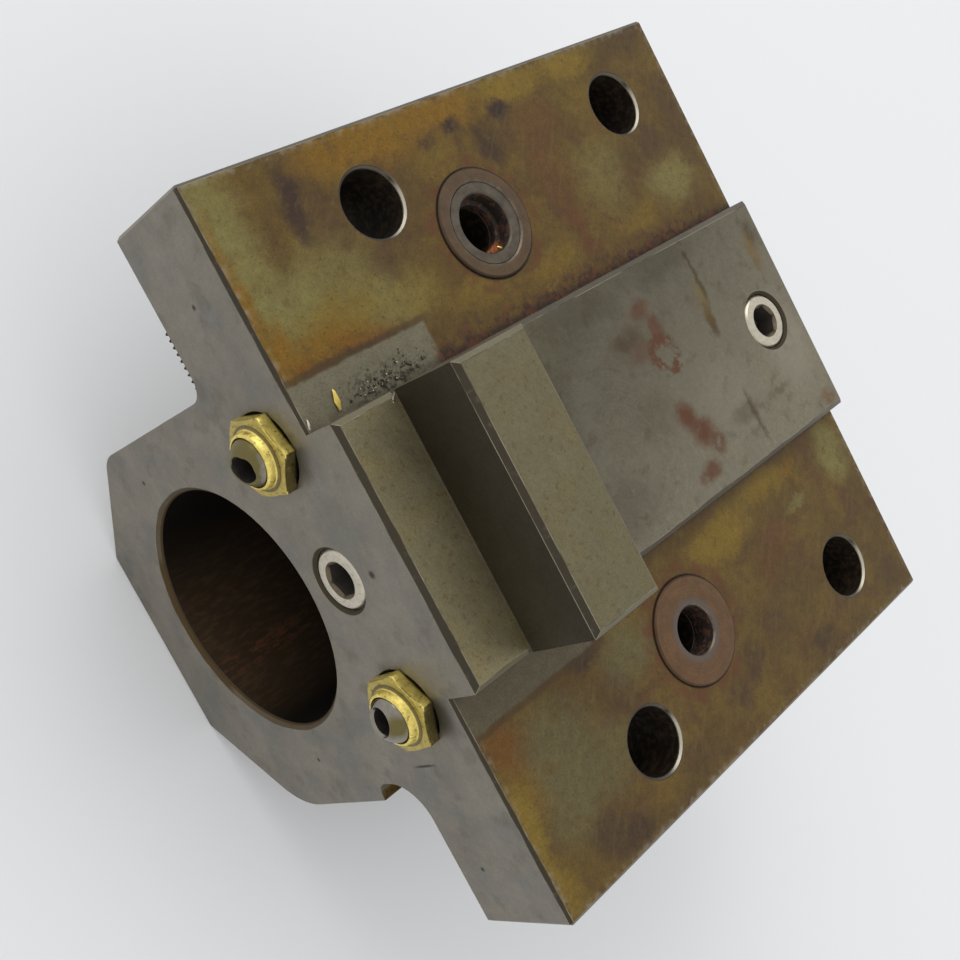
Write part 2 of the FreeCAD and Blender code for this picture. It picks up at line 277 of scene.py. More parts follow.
def new_group(name, inputs, outputs):
    """A shader node group with named sockets, its wiring and its input sockets."""
    tree = bpy.data.node_groups.new(name, "ShaderNodeTree")
    for socket, kind in inputs:
        tree.interface.new_socket(socket, in_out="INPUT", socket_type=kind)
    for socket, kind in outputs:
        tree.interface.new_socket(socket, in_out="OUTPUT", socket_type=kind)
    return Wiring(tree), tree.nodes.new("NodeGroupInput").outputs, tree.nodes.new("NodeGroupOutput").inputs


FLOAT = "NodeSocketFloat"
VECTOR = "NodeSocketVector"
shared = {}


def build_patch_group():
    """A soft patch at a given place: 1 in the middle, 0 outside its reach."""
    inputs = [("Point", VECTOR), ("Place", VECTOR), ("Reach", VECTOR)]
    w, given, out = new_group("patch", inputs, [("Mask", FLOAT)])
    away = w.vector("DIVIDE", w.vector("SUBTRACT", given["Point"], given["Place"]), given["Reach"])
    w.put(out["Mask"], w.smooth(w.vector("LENGTH", away, output=1), 1.0, 0.25))
    return w.tree


def build_speck_group():
    """Small irregular specks; Cover is the share of noise that shows."""
    inputs = [("Point", VECTOR), ("Scale", FLOAT), ("Cover", FLOAT)]
    w, given, out = new_group("specks", inputs, [("Mask", FLOAT)])
    cloud = w.noise(given["Point"], given["Scale"], detail=4.0, rough=0.65)
    w.put(out["Mask"], w.smooth(w.less(cloud, w.less(1.0, given["Cover"])), 0.0, 0.08))
    return w.tree


def build_blotch_group():
    """Soft blotches that lighten and darken a surface."""
    inputs = [("Point", VECTOR), ("Scale", FLOAT), ("Amount", FLOAT)]
    w, given, out = new_group("blotches", inputs, [("Tone", FLOAT), ("Cloud", FLOAT)])
    cloud = w.noise(given["Point"], given["Scale"], detail=5.0, rough=0.6)
    w.put(out["Tone"], w.ramp(w.less(cloud, 0.5), given["Amount"], 1.0))
    w.put(out["Cloud"], cloud)
    return w.tree


def new_material(name):
    """An empty material with its wiring, Principled shader and object coordinates in millimetres."""
    material = bpy.data.materials.new(name)
    material.use_nodes = True
    w = Wiring(material.node_tree)
    shader = material.node_tree.nodes["Principled BSDF"]
    coordinates = w.node("ShaderNodeTexCoord")
    point = w.vector("MULTIPLY", coordinates.outputs["Object"], (1000.0, 1000.0, 1000.0))
    return material, w, shader, point, coordinates.outputs["Normal"]


def scaled(w, colour, tone):
    """A colour made lighter or darker by a value."""
    return w.vector("MULTIPLY", colour, w.join(tone, tone, tone))


def blotchy(w, point, scale, amount):
    return w.group(shared["blotches"], Point=point, Scale=scale, Amount=amount)["Tone"]


def mottled(w, point, *layers):
    """Several blotchy layers on top of one another, each a scale and an amount."""
    return w.times(*[blotchy(w, point, scale, amount) for scale, amount in layers])


def patch(w, point, place, reach):
    return w.group(shared["patch"], Point=point, Place=place, Reach=reach)["Mask"]


def speckled(w, point, scale, cover):
    return w.group(shared["specks"], Point=point, Scale=scale, Cover=cover)["Mask"]


def bump(w, shader, height, distance, strength=1.0):
    made = w.node("ShaderNodeBump", (strength, distance))
    w.put(made.inputs["Height"], height)
    w.put(shader.inputs["Normal"], made.outputs[0])


# Stains on the mounting face: place x, y and reach x, y in millimetres, colour and strength
STAINS = [
    ((-66, 63), (10, 12), "pale", 0.75),
    ((-66, 52), (7, 14), "pale", 0.80),
    ((-61, 43), (11, 9), "pale", 0.80),
    ((-50, 46), (15, 11), "pale", 0.55),
    ((-42, 38), (14, 7), "pale", 0.70),
    ((-53, 39.5), (14, 5), "gold", 0.70),
    ((-35, 38), (9, 6), "gold", 0.40),
    ((-29, 55), (8, 8), "umber", 0.35),
    ((-35, 46), (9, 7), "umber", 0.40),
    ((-17, 57), (8, 6), "gold", 0.40),
    ((-23, 33), (11, 4), "gold", 0.50),
    ((-2, 31), (10, 4), "gold", 0.55),
    ((26, 32), (11, 5), "gold", 0.55),
    ((-50.5, 60), (4.2, 12), "plum", 0.90),
    ((-45, 57), (6, 9), "umber", 0.45),
    ((-47, 67), (5, 4), "umber", 0.60),
    ((-69.3, 50), (3.0, 18), "ochre", 0.95),
    ((-67.6, 38.5), (5.5, 8), "ochre", 1.0),
    ((-58, 36), (13, 4.2), "ochre", 0.95),
    ((-64, 35), (4, 2.6), "orange", 0.60),
    ((-49, 34.6), (11, 3.4), "orange", 0.60),
    ((-56, 33.8), (16, 1.3), "plum", 0.60),
    ((-42, 32.8), (7, 3.4), "umber", 0.60),
    ((-38, 66.5), (15, 7), "ochre", 0.90),
    ((-26, 65), (16, 8), "ochre", 0.95),
    ((-10, 66), (16, 6), "ochre", 1.0),
    ((8, 66), (15, 5), "gold", 0.90),
    ((27, 66.5), (14, 4.5), "gold", 0.90),
    ((45, 66), (15, 7), "umber", 0.55),
    ((-10, 62.3), (4.4, 2.6), "plum", 1.0),
    ((3.6, 61.8), (4.6, 2.6), "plum", 1.0),
    ((-17, 61.0), (3.0, 1.8), "plum", 0.60),
    ((12, 57), (9, 7), "rust", 0.42),
    ((8.7, 47), (8, 10), "rust", 0.45),
    ((8.6, 37), (4.6, 5.5), "rust", 0.65),
    ((10, 31.5), (6, 3), "rust", 0.60),
    ((-3.0, 57.0), (5, 6), "plum", 0.75),
    ((22, 43), (11, 11), "pale", 0.40),
    ((41, 36), (11, 8), "pale", 0.75),
    ((39, 45), (12, 5), "umber", 0.75),
    ((51, 46), (5, 16), "umber", 0.55),
    ((28, 57), (9, 9), "gold", 0.25),
    ((-65, -38), (5, 7), "orange", 0.60),
    ((-63, -46), (5, 8), "ochre", 0.60),
    ((-68, -51), (3.6, 15), "gold", 0.95),
    ((-68, -64), (5, 8), "gold", 0.75),
    ((-54, -42), (13, 11), "sage", 0.85),
    ((-57, -52), (12, 12), "sage", 0.85),
    ((-46, -52), (11, 10), "sage", 0.65),
    ((-31, -38), (11, 8), "sage", 0.80),
    ((-41, -33), (6, 3.4), "plum", 0.80),
    ((-38, -44), (8, 8), "umber", 0.45),
    ((-54, -62.5), (6, 6), "umber", 0.80),
    ((-49, -66), (8, 5), "plum", 0.65),
    ((-37, -69), (12, 4), "umber", 0.50),
    ((-27, -64), (10, 6), "umber", 0.45),
    ((-2.4, -57), (5, 5), "plum", 0.50),
    ((18.7, -64), (6, 4), "plum", 0.55),
    ((-10, -59), (6, 5), "plum", 0.40),
    ((20, -39.5), (6, 5), "rust", 0.50),
    ((14, -44), (6, 6), "rust", 0.35),
    ((30, -36.5), (6, 1.8), "pale", 0.60),
    ((4, -32), (15, 6), "gold", 0.90),
    ((23, -29), (13, 5), "gold", 0.80),
    ((33, -30), (4, 2), "ochre", 0.70),
    ((48, -33), (9, 9), "pale", 0.80),
    ((47, -62), (7, 10), "umber", 0.60),
    ((27, -68), (14, 4), "umber", 0.50),
    ((12, -52), (13, 10), "umber", 0.35),
]

# Dents on the tool side face: y, z and size in millimetres
DENTS = (
    (-0.6, -2.9, 1.1), (30.5, -60.0, 0.7), (-33.0, -52.0, 0.7), (52.0, -12.0, 0.8), (-58.0, -17.0, 0.7))

# Rust and oil marks on the plateau, in the same form as the stains
PLATEAU_MARKS = [
    ((-8, 21), (14, 6), "grime_and_shade", 0.45),
    ((-27, 8), (12, 18), "grime_and_shade", 0.45),
    ((-20, -16), (16, 9), "grime_and_shade", 0.35),
    ((20, 22), (18, 5), "grime_and_shade", 0.40),
    ((2, 10), (10, 7), "umber", 0.30),
    ((46, -7), (10, 15), "worn", 0.40),
    ((22, -8), (14, 10), "worn", 0.15),
    ((0, -4), (9, 8), "umber", 0.25),
    ((9.0, 15.5), (4.5, 3.0), "rust", 0.60),
    ((10.5, 11.0), (3.0, 4.0), "rust", 0.65),
    ((2.0, 11.7), (7, 3.0), "umber", 0.50),
    ((4.5, 8.0), (5, 3.5), "rust", 0.35),
    ((7.6, -7.4), (4.0, 4.4), "rust", 0.85),
    ((10.0, -11.8), (5.0, 4.4), "rust", 0.85),
    ((12.4, -15.4), (3.4, 3.2), "rust", 0.75),
    ((7.6, -19.0), (3.8, 3.2), "rust", 0.75),
    ((4.6, -20.0), (3.0, 2.2), "rust", 0.60),
    ((28.4, 20.5), (0.9, 6.0), "umber", 0.75),
    ((28.6, 13.5), (1.3, 6.0), "umber", 0.75),
    ((27.0, 6.5), (2.2, 5.5), "umber", 0.80),
    ((27.0, 10.0), (3.0, 7.0), "gold", 0.35),
    ((24, -13.5), (7, 3.0), "umber", 0.40),
    ((26.6, -15.5), (1.1, 9.0), "umber", 0.60),
    ((36, -14), (7, 1.2), "umber", 0.35),
    ((51, 18), (3, 5), "umber", 0.60),
    ((49, 14), (3, 6), "ochre", 0.45),
    ((50.5, -21.5), (4, 2.6), "orange", 0.60),
]


def marks(w, colour, point, listed):
    """Lays listed patches over a colour."""
    palette = colours()
    cloud = w.cloud(point, 0.3, 0.2, 0.5, detail=5.0)
    for (x, y), (reach_x, reach_y), name, strength in listed:
        mask = patch(w, point, (x, y, 0), (reach_x, reach_y, 1))
        colour = w.cover(colour, getattr(palette, name), mask, cloud, strength)
    return colour


class BodyPoint:
    """Where a shaded point lies on the body: coordinates in millimetres, direction and face masks."""

    def __init__(self, w, point, normal):
        self.w = w
        self.point = point
        self.x, self.y, self.z = w.split(point)
        self.nx, self.ny, self.nz = w.split(normal)
        self.side = w.size(self.y)
        up = w.smooth(self.nz, 0.75, 0.95)
        self.face = w.times(up, w.smooth(self.z, 1.0, 0.5))
        self.plateau = w.times(up, w.between(self.z, 3.6, 4.8, 0.3))
        self.pad = w.times(up, w.between(self.z, 7.6, 8.8, 0.3))
        self.block = w.times(up, w.smooth(self.z, 20.0, 24.0))
        self.ahead = w.smooth(self.nx, -0.9, -0.97)
        self.slanted = w.between(self.nz, 0.6, 0.8, 0.04)

    def drift(self, broad, fine):
        """The point in the XY plane, moved about by noise so that patches get uneven outlines."""
        w = self.w
        wide = w.vector("SUBTRACT", w.noise(self.point, 0.11, detail=4.0, output=1), (0.5, 0.5, 0.5))
        small = w.vector("SUBTRACT", w.noise(self.point, 0.9, detail=3.0, output=1), (0.5, 0.5, 0.5))
        wide = w.vector("MULTIPLY", wide, (broad, broad, 0))
        small = w.vector("MULTIPLY", small, (fine, fine, 0))
        return w.vector("ADD", w.join(self.x, self.y, 0.0), w.vector("ADD", wide, small))

    def inside(self):
        """1 within the drillings, the bore and the gaps round the screwed-in pieces."""
        w = self.w
        along = w.between(self.x, FRONT_X + 0.75, BACK_X - 0.75, 0.15)
        within = w.smooth(self.side, HALF_WIDTH - 0.5, HALF_WIDTH - 0.7)
        flange = w.times(along, w.between(self.z, -23.5, -0.75, 0.15), within)
        boss = w.times(along, w.disc(self.y, self.z, (0.0, BORE_Z), 26.2, 0.2))
        for at_x in CLAMP_SCREWS:
            hole = w.disc(self.x, self.z, (at_x, BORE_Z), 5.6, 0.2)
            boss = w.most(boss, w.times(hole, w.between(self.y, 20.0, 37.9, 0.2)))
        key_gap = w.times(w.disc(self.x, self.y, KEY_PLUG, PLUG_MOUTH), w.smooth(self.z, 4.18, 4.1))
        behind_front = w.between(self.x, FRONT_X + 0.1, FRONT_X + 30.0, 0.08)
        gaps = w.disc(self.y, self.z, FRONT_PLUG, PLUG_MOUTH)
        for place in NOZZLES:
            gaps = w.most(gaps, w.disc(self.y, self.z, place, NOZZLE_MOUTH))
        port = w.disc(self.x, self.side, PORT, PORT_MOUTH, 0.1)
        port = w.times(port, w.between(self.z, -23.0, -0.1, 0.08))
        return w.most(flange, boss, key_gap, w.times(gaps, behind_front), port)


def bare_steel(w, body):
    """Steel all over, with broad smudges, fine grain and small pits."""
    palette = colours()
    tone = mottled(w, body.point, (0.05, 0.35), (0.25, 0.4), (1.1, 0.25), (3.4, 0.5))
    colour = scaled(w, palette.steel, tone)
    smudge = w.cloud(body.point, 0.085, 0.45, 0.62, detail=6.0)
    colour = w.cover(colour, scaled(w, palette.cool, tone), smudge, 0.6)
    scuffs = w.smooth(w.lines(body.point, (2.5, 0.35, 0.9)), 0.58, 0.7)
    colour = w.cover(colour, palette.worn, scuffs, 0.16)
    oil = w.cloud(body.point, 0.19, 0.56, 0.68, detail=6.0)
    colour = w.cover(colour, palette.grime_and_shade, oil, 0.22)
    pits = speckled(w, body.point, 1.0, 0.34)
    return w.cover(colour, palette.grime_and_shade, pits, 0.5)


def key_faces(w, body, colour):
    """The upper faces of the pad, the block and the plateau, with painted light on the pad and painted
    shade in its corner at the wall, and the wall between pad and block painted dark as shade.
    """
    palette = colours()
    tone = mottled(w, body.point, (0.12, 0.35), (0.8, 0.4), (3.2, 0.6))
    brushed = w.lines(w.vector("ADD", body.point, w.join(w.times(body.y, 0.6), 0.0, 0.0)), (5.0, 0.35, 1.0))
    brushed = w.ramp(w.less(brushed, 0.5), 0.3, 1.0)
    tint = w.cloud(body.point, 0.16, 0.46, 0.64, detail=5.0)
    oily = w.cover(palette.key, palette.gold, tint, 0.16)
    oily = scaled(w, oily, w.times(tone, brushed))
    oily = w.cover(oily, palette.olive, speckled(w, body.point, 0.9, 0.43), 0.45)
    # Painted light: the pad's oily colour is made half again lighter than the block's, standing in for the
    # light the pad gets.
    oily = scaled(w, oily, w.ramp(body.pad, 0.50, 1.0))
    colour = w.cover(colour, oily, w.most(body.pad, body.block), 0.94)
    # Painted shade: the pad grows a little darker towards the block's wall, in the corner where they meet.
    at_wall = w.times(body.pad, w.smooth(body.x, -58.4, -56.6))
    colour = w.cover(colour, palette.grime_and_shade, at_wall, 0.1)

    clean = w.mix(0.5, palette.steel, palette.key)
    arcs = w.noise(w.join(w.times(w.reach(body.x, -14.0, body.y, -8.0), 1.6), 0.0, 0.0), 1.0, detail=2.0)
    arcs = w.ramp(w.less(arcs, 0.5), w.times(w.smooth(body.x, 14.0, -6.0), 0.35), 1.0)
    diagonal = w.less(w.times(body.x, 0.5), body.y)
    shade = w.ramp(w.smooth(diagonal, -25.0, 40.0), 0.50, 0.62)
    clean = w.cover(clean, palette.key, w.smooth(diagonal, 10.0, -45.0), 0.5)
    clean = scaled(w, clean, w.times(tone, arcs, shade))
    haze = w.cloud(body.point, 0.11, 0.44, 0.62, detail=6.0)
    clean = w.cover(clean, w.mix(0.5, palette.key, palette.cool), haze, 0.35)
    brown = w.cloud(body.point, 0.3, 0.55, 0.7, detail=6.0)
    clean = w.cover(clean, palette.umber, brown, 0.28)
    drifted = body.drift(3.0, 1.8)
    clean = marks(w, clean, drifted, PLATEAU_MARKS)
    dx, dy, _ = w.split(drifted)
    ring = w.between(w.reach(dx, 10.0, dy, 5.4), 2.6, 3.9, 0.9)
    clean = w.cover(clean, palette.rust, ring, w.cloud(body.point, 0.6, 0.35, 0.55), 0.75)
    colour = w.mix(body.plateau, colour, clean)

    # Painted shade: the wall facing the front between pad and block is painted near black as its shade and
    # the dark reflection of the pad, with some stain; the lit mask is painted light, making it lighter
    # towards -Y and low down.
    wall = w.times(body.ahead, w.smooth(body.z, 8.25, 8.6))
    lit = w.times(w.smooth(body.y, 14.0, -22.0), w.smooth(body.z, 26.0, 12.0))
    dark = w.mix(lit, w.mix(0.62, palette.soot_and_shade, palette.grime_and_shade), w.mix(0.1, palette.grime_and_shade, palette.key))
    dark = scaled(w, dark, mottled(w, body.point, (0.3, 0.5), (2.4, 0.5)))
    colour = w.cover(colour, dark, wall, 0.97)
    flank = w.times(w.smooth(w.size(body.ny), 0.9, 0.97), w.smooth(body.z, 0.1, 0.4))
    return w.cover(colour, palette.grime_and_shade, flank, 0.35)


def mounting_face(w, body, colour):
    """The stained face, with a clean rectangle round the pad and block that carries a painted shadow on its
    -Y side, and dirt and painted shade along the key.
    """
    palette = colours()
    drifted = body.drift(8.0, 2.4)
    cloud = w.noise(drifted, 0.09, detail=5.0)
    stain = w.mix(w.smooth(cloud, 0.40, 0.62), palette.olive, w.mix(0.28, palette.olive, palette.gold))
    brown = w.cloud(drifted, 0.14, 0.5, 0.64, detail=6.0)
    stain = w.cover(stain, w.mix(0.35, palette.umber, palette.rust), brown, 0.55)
    stain = marks(w, stain, drifted, STAINS)
    slanting = w.vector("ADD", body.point, w.join(w.times(body.y, -0.9), 0.0, 0.0))
    scratches = w.lines(slanting, (2.4, 0.35, 1.0), 4.0)
    tone = w.times(
        mottled(w, body.point, (0.55, 0.7), (2.6, 0.8)), w.ramp(w.less(scratches, 0.5), 0.22, 1.0))
    stain = scaled(w, stain, tone)
    streaks = w.smooth(w.lines(slanting, (0.5, 0.14, 1.0), 6.0), 0.52, 0.68)
    stain = w.cover(stain, palette.pale, streaks, 0.14)
    stain = w.cover(stain, palette.plum, speckled(w, body.point, 1.5, 0.42), 0.45)
    from_port = w.reach(body.x, PORT[0], body.side, PORT[1])
    halo = w.times(w.between(from_port, 11.4, 13.2, 1.2), w.cloud(body.point, 0.3, 0.42, 0.6))
    stain = w.cover(stain, palette.rust, halo, 0.6)
    stain = w.cover(stain, palette.soot_and_shade, w.between(from_port, 10.7, 11.05, 0.2), 0.8)
    rim = w.math("MINIMUM", w.less(BACK_X, body.x), w.less(HALF_WIDTH, body.side))
    rim = w.math("MINIMUM", w.less(body.x, FRONT_X), rim)
    worn = w.times(w.smooth(rim, 2.2, 0.7), w.cloud(body.point, 0.5, 0.4, 0.7))
    stain = w.cover(stain, palette.worn, worn, 0.4)

    jitter = w.vector("SUBTRACT", w.noise(body.point, 0.5, output=1), (0.5, 0.5, 0.5))
    wx, wy, _ = w.split(w.vector("ADD", w.join(body.x, body.y, 0.0), jitter))
    from_middle = w.size(wy)
    clean = w.times(w.smooth(from_middle, 33.1, 32.4), w.smooth(wx, -37.0, -38.0))
    outline = w.times(w.between(from_middle, 32.8, 33.6, 0.8), w.smooth(wx, -34.0, -38.5))
    stain = w.cover(stain, palette.umber, outline, 0.65)
    # Painted shadow: the clean rectangle is darker on its -Y side, where the block shades the face.
    left_grey = w.mix(0.75, palette.cool, palette.key)
    right_grey = w.mix(0.6, palette.key, palette.grime_and_shade)
    grey = w.mix(w.smooth(body.y, 10.0, -10.0), left_grey, right_grey)
    grey = scaled(w, grey, mottled(w, body.point, (0.5, 0.6), (2.6, 1.0)))
    grey = w.cover(grey, palette.grime_and_shade, speckled(w, body.point, 1.4, 0.42), 0.35)
    stain = w.mix(clean, stain, grey)
    colour = w.mix(body.face, colour, stain)

    # Along the key's foot on both sides: crud in the corner and painted shade where face and key meet.
    behind = w.smooth(body.x, -40.0, -37.0)
    foot = w.smooth(w.less(body.side, HALF_KEY), 2.0, 0.1)
    foot = w.times(foot, body.face, w.cloud(body.point, 0.45, 0.28, 0.5))
    dirt = w.mix(behind, palette.grime_and_shade, palette.plum)
    colour = w.cover(colour, dirt, foot, w.ramp(behind, 0.4, 0.5))
    crud = w.times(w.between(body.y, 24.0, 25.6, 5.0), w.between(body.x, -37.0, 47.0, 3.0), body.face)
    crud = w.times(crud, w.cloud(drifted, 0.32, 0.42, 0.56, detail=6.0))
    rusty = w.mix(w.cloud(body.point, 0.7, 0.4, 0.6), palette.plum, palette.rust)
    colour = w.cover(colour, rusty, crud, 0.9)
    # Painted shadow: a dark band on the face along the key's -Y side, where the block shades it.
    low_foot = w.times(w.between(body.y, -25.4, -24.0, 4.0), w.between(body.x, -30.0, 30.0, 8.0), body.face)
    colour = w.cover(colour, palette.umber, low_foot, w.smooth(cloud, 0.3, 0.55), 0.6)
    grit = patch(w, drifted, (-50, 26.5, 0), (13, 5.5, 1))
    grit = w.times(grit, body.face, w.cloud(body.point, 0.9, 0.46, 0.58, detail=4.0))
    return w.cover(colour, palette.soot_and_shade, grit, 0.7)


def chamfers(w, body, colour):
    """The slanted edges, darker than the faces beside them; those facing the front are painted dark as a
    reflection, and the bolt holes' chamfers get a painted glint.
    """
    palette = colours()
    uneven = w.cloud(body.point, 0.5, -0.1, 0.45, detail=4.0)
    # Painted reflection: the chamfers facing the front are painted dark, for the dark surroundings they
    # reflect.
    facing_front = w.times(body.slanted, w.smooth(body.nx, -0.5, -0.65))
    colour = w.cover(colour, scaled(w, palette.grime_and_shade, 0.75), facing_front, uneven, 0.95)
    others = w.times(body.slanted, w.less(1.0, facing_front))
    colour = w.cover(colour, palette.grime_and_shade, others, w.smooth(body.z, 4.3, 4.1), 0.6)
    colour = w.cover(colour, palette.key, others, w.smooth(body.z, 7.0, 7.2), 0.7)
    # Painted glint: on the bolt holes' chamfers, the side that faces -X and +Y is painted a bright nickel
    # colour as if catching the lamp.
    at_bolt = w.disc(w.size(body.x), body.side, BOLT, BOLT_MOUTH, 0.1)
    toward = w.math("ADD", w.times(body.nx, -0.82), w.times(body.ny, 0.57))
    rim = w.times(at_bolt, body.slanted, w.smooth(toward, 0.35, 0.65), w.smooth(body.z, -0.8, -0.5))
    return w.cover(colour, palette.nickel, rim, 0.85)


def holes(w, body, colour):
    """The drillings' and the bore's insides painted dark as the shade in them, with a patch of painted
    light and a rusty run on the bore's lower wall.
    """
    palette = colours()
    inside = body.inside()
    # Painted shade: the insides of the drillings and the gaps round the screwed pieces are painted near
    # black, with brown streaks.
    streaks = w.smooth(w.lines(body.point, (0.25, 0.8, 0.8), 4.0), 0.42, 0.7)
    dark = w.cover(palette.soot_and_shade, palette.umber, streaks, 0.6)
    # Painted shade and light in the bore: its wall is near black, with a brown patch low down towards -Y
    # and the front painted as the light that reaches there.
    from_axis = w.reach(body.y, 0.0, body.z, BORE_Z)
    bore = w.times(w.smooth(from_axis, 25.9, 25.5), w.smooth(w.size(body.nx), 0.4, 0.2))
    lower = w.times(w.smooth(body.z, -56.0, -72.0), w.smooth(body.y, 22.0, -4.0))
    lower = w.times(lower, w.smooth(body.x, -20.0, -64.0), w.ramp(streaks, 0.4, 0.6))
    bore_colour = w.mix(lower, scaled(w, palette.soot_and_shade, 0.6), palette.umber)
    run = w.times(w.between(body.y, -12.4, -10.4, 1.6), w.smooth(body.z, -60.0, -66.0))
    run = w.times(run, w.smooth(body.x, -40.0, -58.0))
    bore_colour = w.cover(bore_colour, palette.rust, run, w.smooth(streaks, 0.0, 0.7), 0.8)
    colour = w.mix(inside, colour, dark)
    colour = w.mix(bore, colour, bore_colour)
    plug_gap = w.times(w.disc(body.y, body.z, FRONT_PLUG, PLUG_MOUTH), w.smooth(body.x, -68.8, -69.0))
    key_gap = w.times(w.disc(body.x, body.y, KEY_PLUG, PLUG_MOUTH), w.smooth(body.z, 3.0, 3.2))
    colour = w.cover(colour, palette.grime_and_shade, w.most(plug_gap, key_gap), 0.85)
    lip = w.times(w.smooth(from_axis, 26.5, 26.3), w.between(w.size(body.nx), 0.5, 0.9, 0.1))
    colour = w.cover(colour, w.mix(0.5, palette.umber, palette.olive), lip, 0.75)
    return colour, w.most(inside, bore)


def nicks(w, body, colour):
    """A scratch, and a punch mark and small dents painted dark as the shade in their hollows, on the tool
    side face; beside each nozzle a painted shadow with some dirt, and a broader darker patch round it.
    """
    palette = colours()
    flat = w.join(body.y, body.z, 0.0)
    found = patch(w, flat, (-36.6, -17.5, 0), (0.4, 4.5, 1))
    # The punch mark and the dents are painted dark as the shade in their hollows.
    for at_y, at_z, size in DENTS:
        found = w.most(found, patch(w, flat, (at_y, at_z, 0), (size, size, 1)))
    below_face = w.smooth(body.z, 0.0, -0.5)
    found = w.times(found, body.ahead, below_face)
    # Painted shadow with some dirt: a dark patch beside each nozzle's hexagon towards -Y and +Z, where the
    # hexagon shades the face.
    for (at_y, at_z), strength in zip(NOZZLES, (0.35, 0.85)):
        above = patch(w, flat, (at_y - 2.5, at_z + 8.0, 0), (6.0, 4.5, 1))
        colour = w.cover(colour, palette.grime_and_shade, above, body.ahead, below_face, strength)
        around = patch(w, flat, (at_y, at_z, 0), (11.0, 11.0, 1))
        colour = w.cover(colour, palette.grime_and_shade, around, body.ahead, below_face, 0.3)
    return w.cover(colour, palette.soot_and_shade, found, 0.8), found


def holder_material(name):
    """Machined steel with the stains of each face, laid out by where the point lies on the body."""
    material, w, shader, point, normal = new_material(name)
    body = BodyPoint(w, point, normal)
    colour = bare_steel(w, body)
    colour = key_faces(w, body, colour)
    colour = mounting_face(w, body, colour)
    colour = chamfers(w, body, colour)
    colour, found = nicks(w, body, colour)
    colour, inside = holes(w, body, colour)
    w.put(shader.inputs["Base Color"], colour)
    w.put(shader.inputs["Specular IOR Level"], w.ramp(inside, -0.2, 0.25))
    metallic = w.ramp(body.face, -0.40, 0.85)
    w.put(shader.inputs["Metallic"], w.times(metallic, w.ramp(inside, -0.75, 1.0)))
    cloud = w.noise(point, 0.12, detail=4.0)
    rough = w.ramp(cloud, 0.25, 0.36)
    w.put(shader.inputs["Roughness"], w.ramp(inside, 0.2, rough))
    pits = w.most(found, speckled(w, point, 1.0, 0.34))
    relief = w.less(w.lines(point, (2.2, 0.5, 2.2)), w.times(pits, 0.7))
    bump(w, shader, relief, 0.00006, 0.55)
    return material


def edge_material(name):
    """Rubbed steel along the sharp edges, painted dark as shade where an edge lies inside a hole."""
    palette = colours()
    material, w, shader, point, normal = new_material(name)
    body = BodyPoint(w, point, normal)
    colour = scaled(w, w.mix(0.5, palette.worn, palette.key), mottled(w, point, (0.3, 0.7), (1.6, 0.5)))
    colour = w.mix(w.cloud(point, 0.12, 0.42, 0.66, detail=4.0), colour, palette.grime_and_shade)
    # Painted shade: edges inside the drillings and bolt holes are painted near black.
    at_bolt = w.disc(w.size(body.x), body.side, BOLT, BOLT_MOUTH + 0.3, 0.2)
    inside = w.most(body.inside(), w.times(at_bolt, w.smooth(body.nx, -0.5, -0.2)))
    w.put(shader.inputs["Base Color"], w.mix(inside, colour, palette.soot_and_shade))
    w.put(shader.inputs["Metallic"], w.ramp(inside, -0.7, 0.85))
    shader.inputs["Roughness"].default_value = 0.38
    return material


def plain_metal(name, base, rough, mottling, dirt, metallic=1.0, scale=0.6):
    """A metal with soft mottling, dirt specks and a slightly uneven surface."""
    material, w, shader, point, _ = new_material(name)
    blotches = w.group(shared["blotches"], Point=point, Scale=scale, Amount=mottling)
    colour = scaled(w, base, blotches["Tone"])
    colour = w.cover(colour, colours().grime_and_shade, speckled(w, point, 1.8, 0.42), dirt)
    w.put(shader.inputs["Base Color"], colour)
    shader.inputs["Metallic"].default_value = metallic
    w.put(shader.inputs["Roughness"], w.ramp(blotches["Cloud"], 0.2, rough - 0.1))
    bump(w, shader, blotches["Cloud"], 0.00004, 0.5)
    return material


def recess_material(name, base, metallic=0.3, rough=0.6):
    """Dark colour in sockets, holes and grooves: oily dirt, and painted shade inside them."""
    return plain_metal(name, base, rough, 1.0, 0.2, metallic=metallic, scale=1.2)


def ring_material(name, centre, dull, haze):
    """The brown face of a port ring, with turning marks and a dark haze round its hole."""
    palette = colours()
    material, w, shader, point, _ = new_material(name)
    x, y, _ = w.split(point)
    reach = w.reach(x, centre[0], y, centre[1])
    marks_around = w.noise(w.join(w.times(reach, 2.6), 0.0, 0.0), 1.0, detail=3.0)
    turned = w.ramp(w.less(marks_around, 0.5), 0.9, 1.0)
    tone = w.times(turned, blotchy(w, point, 0.35, 0.8), blotchy(w, point, 2.2, 0.6))
    colour = scaled(w, w.mix(dull, palette.copper, palette.grime_and_shade), tone)
    smoky = w.mix(0.45, palette.plum, palette.cool)
    colour = w.cover(colour, smoky, w.smooth(reach, 7.0, 5.2), haze)
    colour = w.cover(colour, palette.umber, speckled(w, point, 1.2, 0.4), 0.3)
    colour = w.cover(colour, palette.soot_and_shade, w.smooth(reach, 10.2, 10.6), 0.4)
    w.put(shader.inputs["Base Color"], colour)
    shader.inputs["Metallic"].default_value = 0.55
    w.put(shader.inputs["Roughness"], w.ramp(marks_around, 0.2, 0.4))
    bump(w, shader, marks_around, 0.00008, 0.5)
    return material


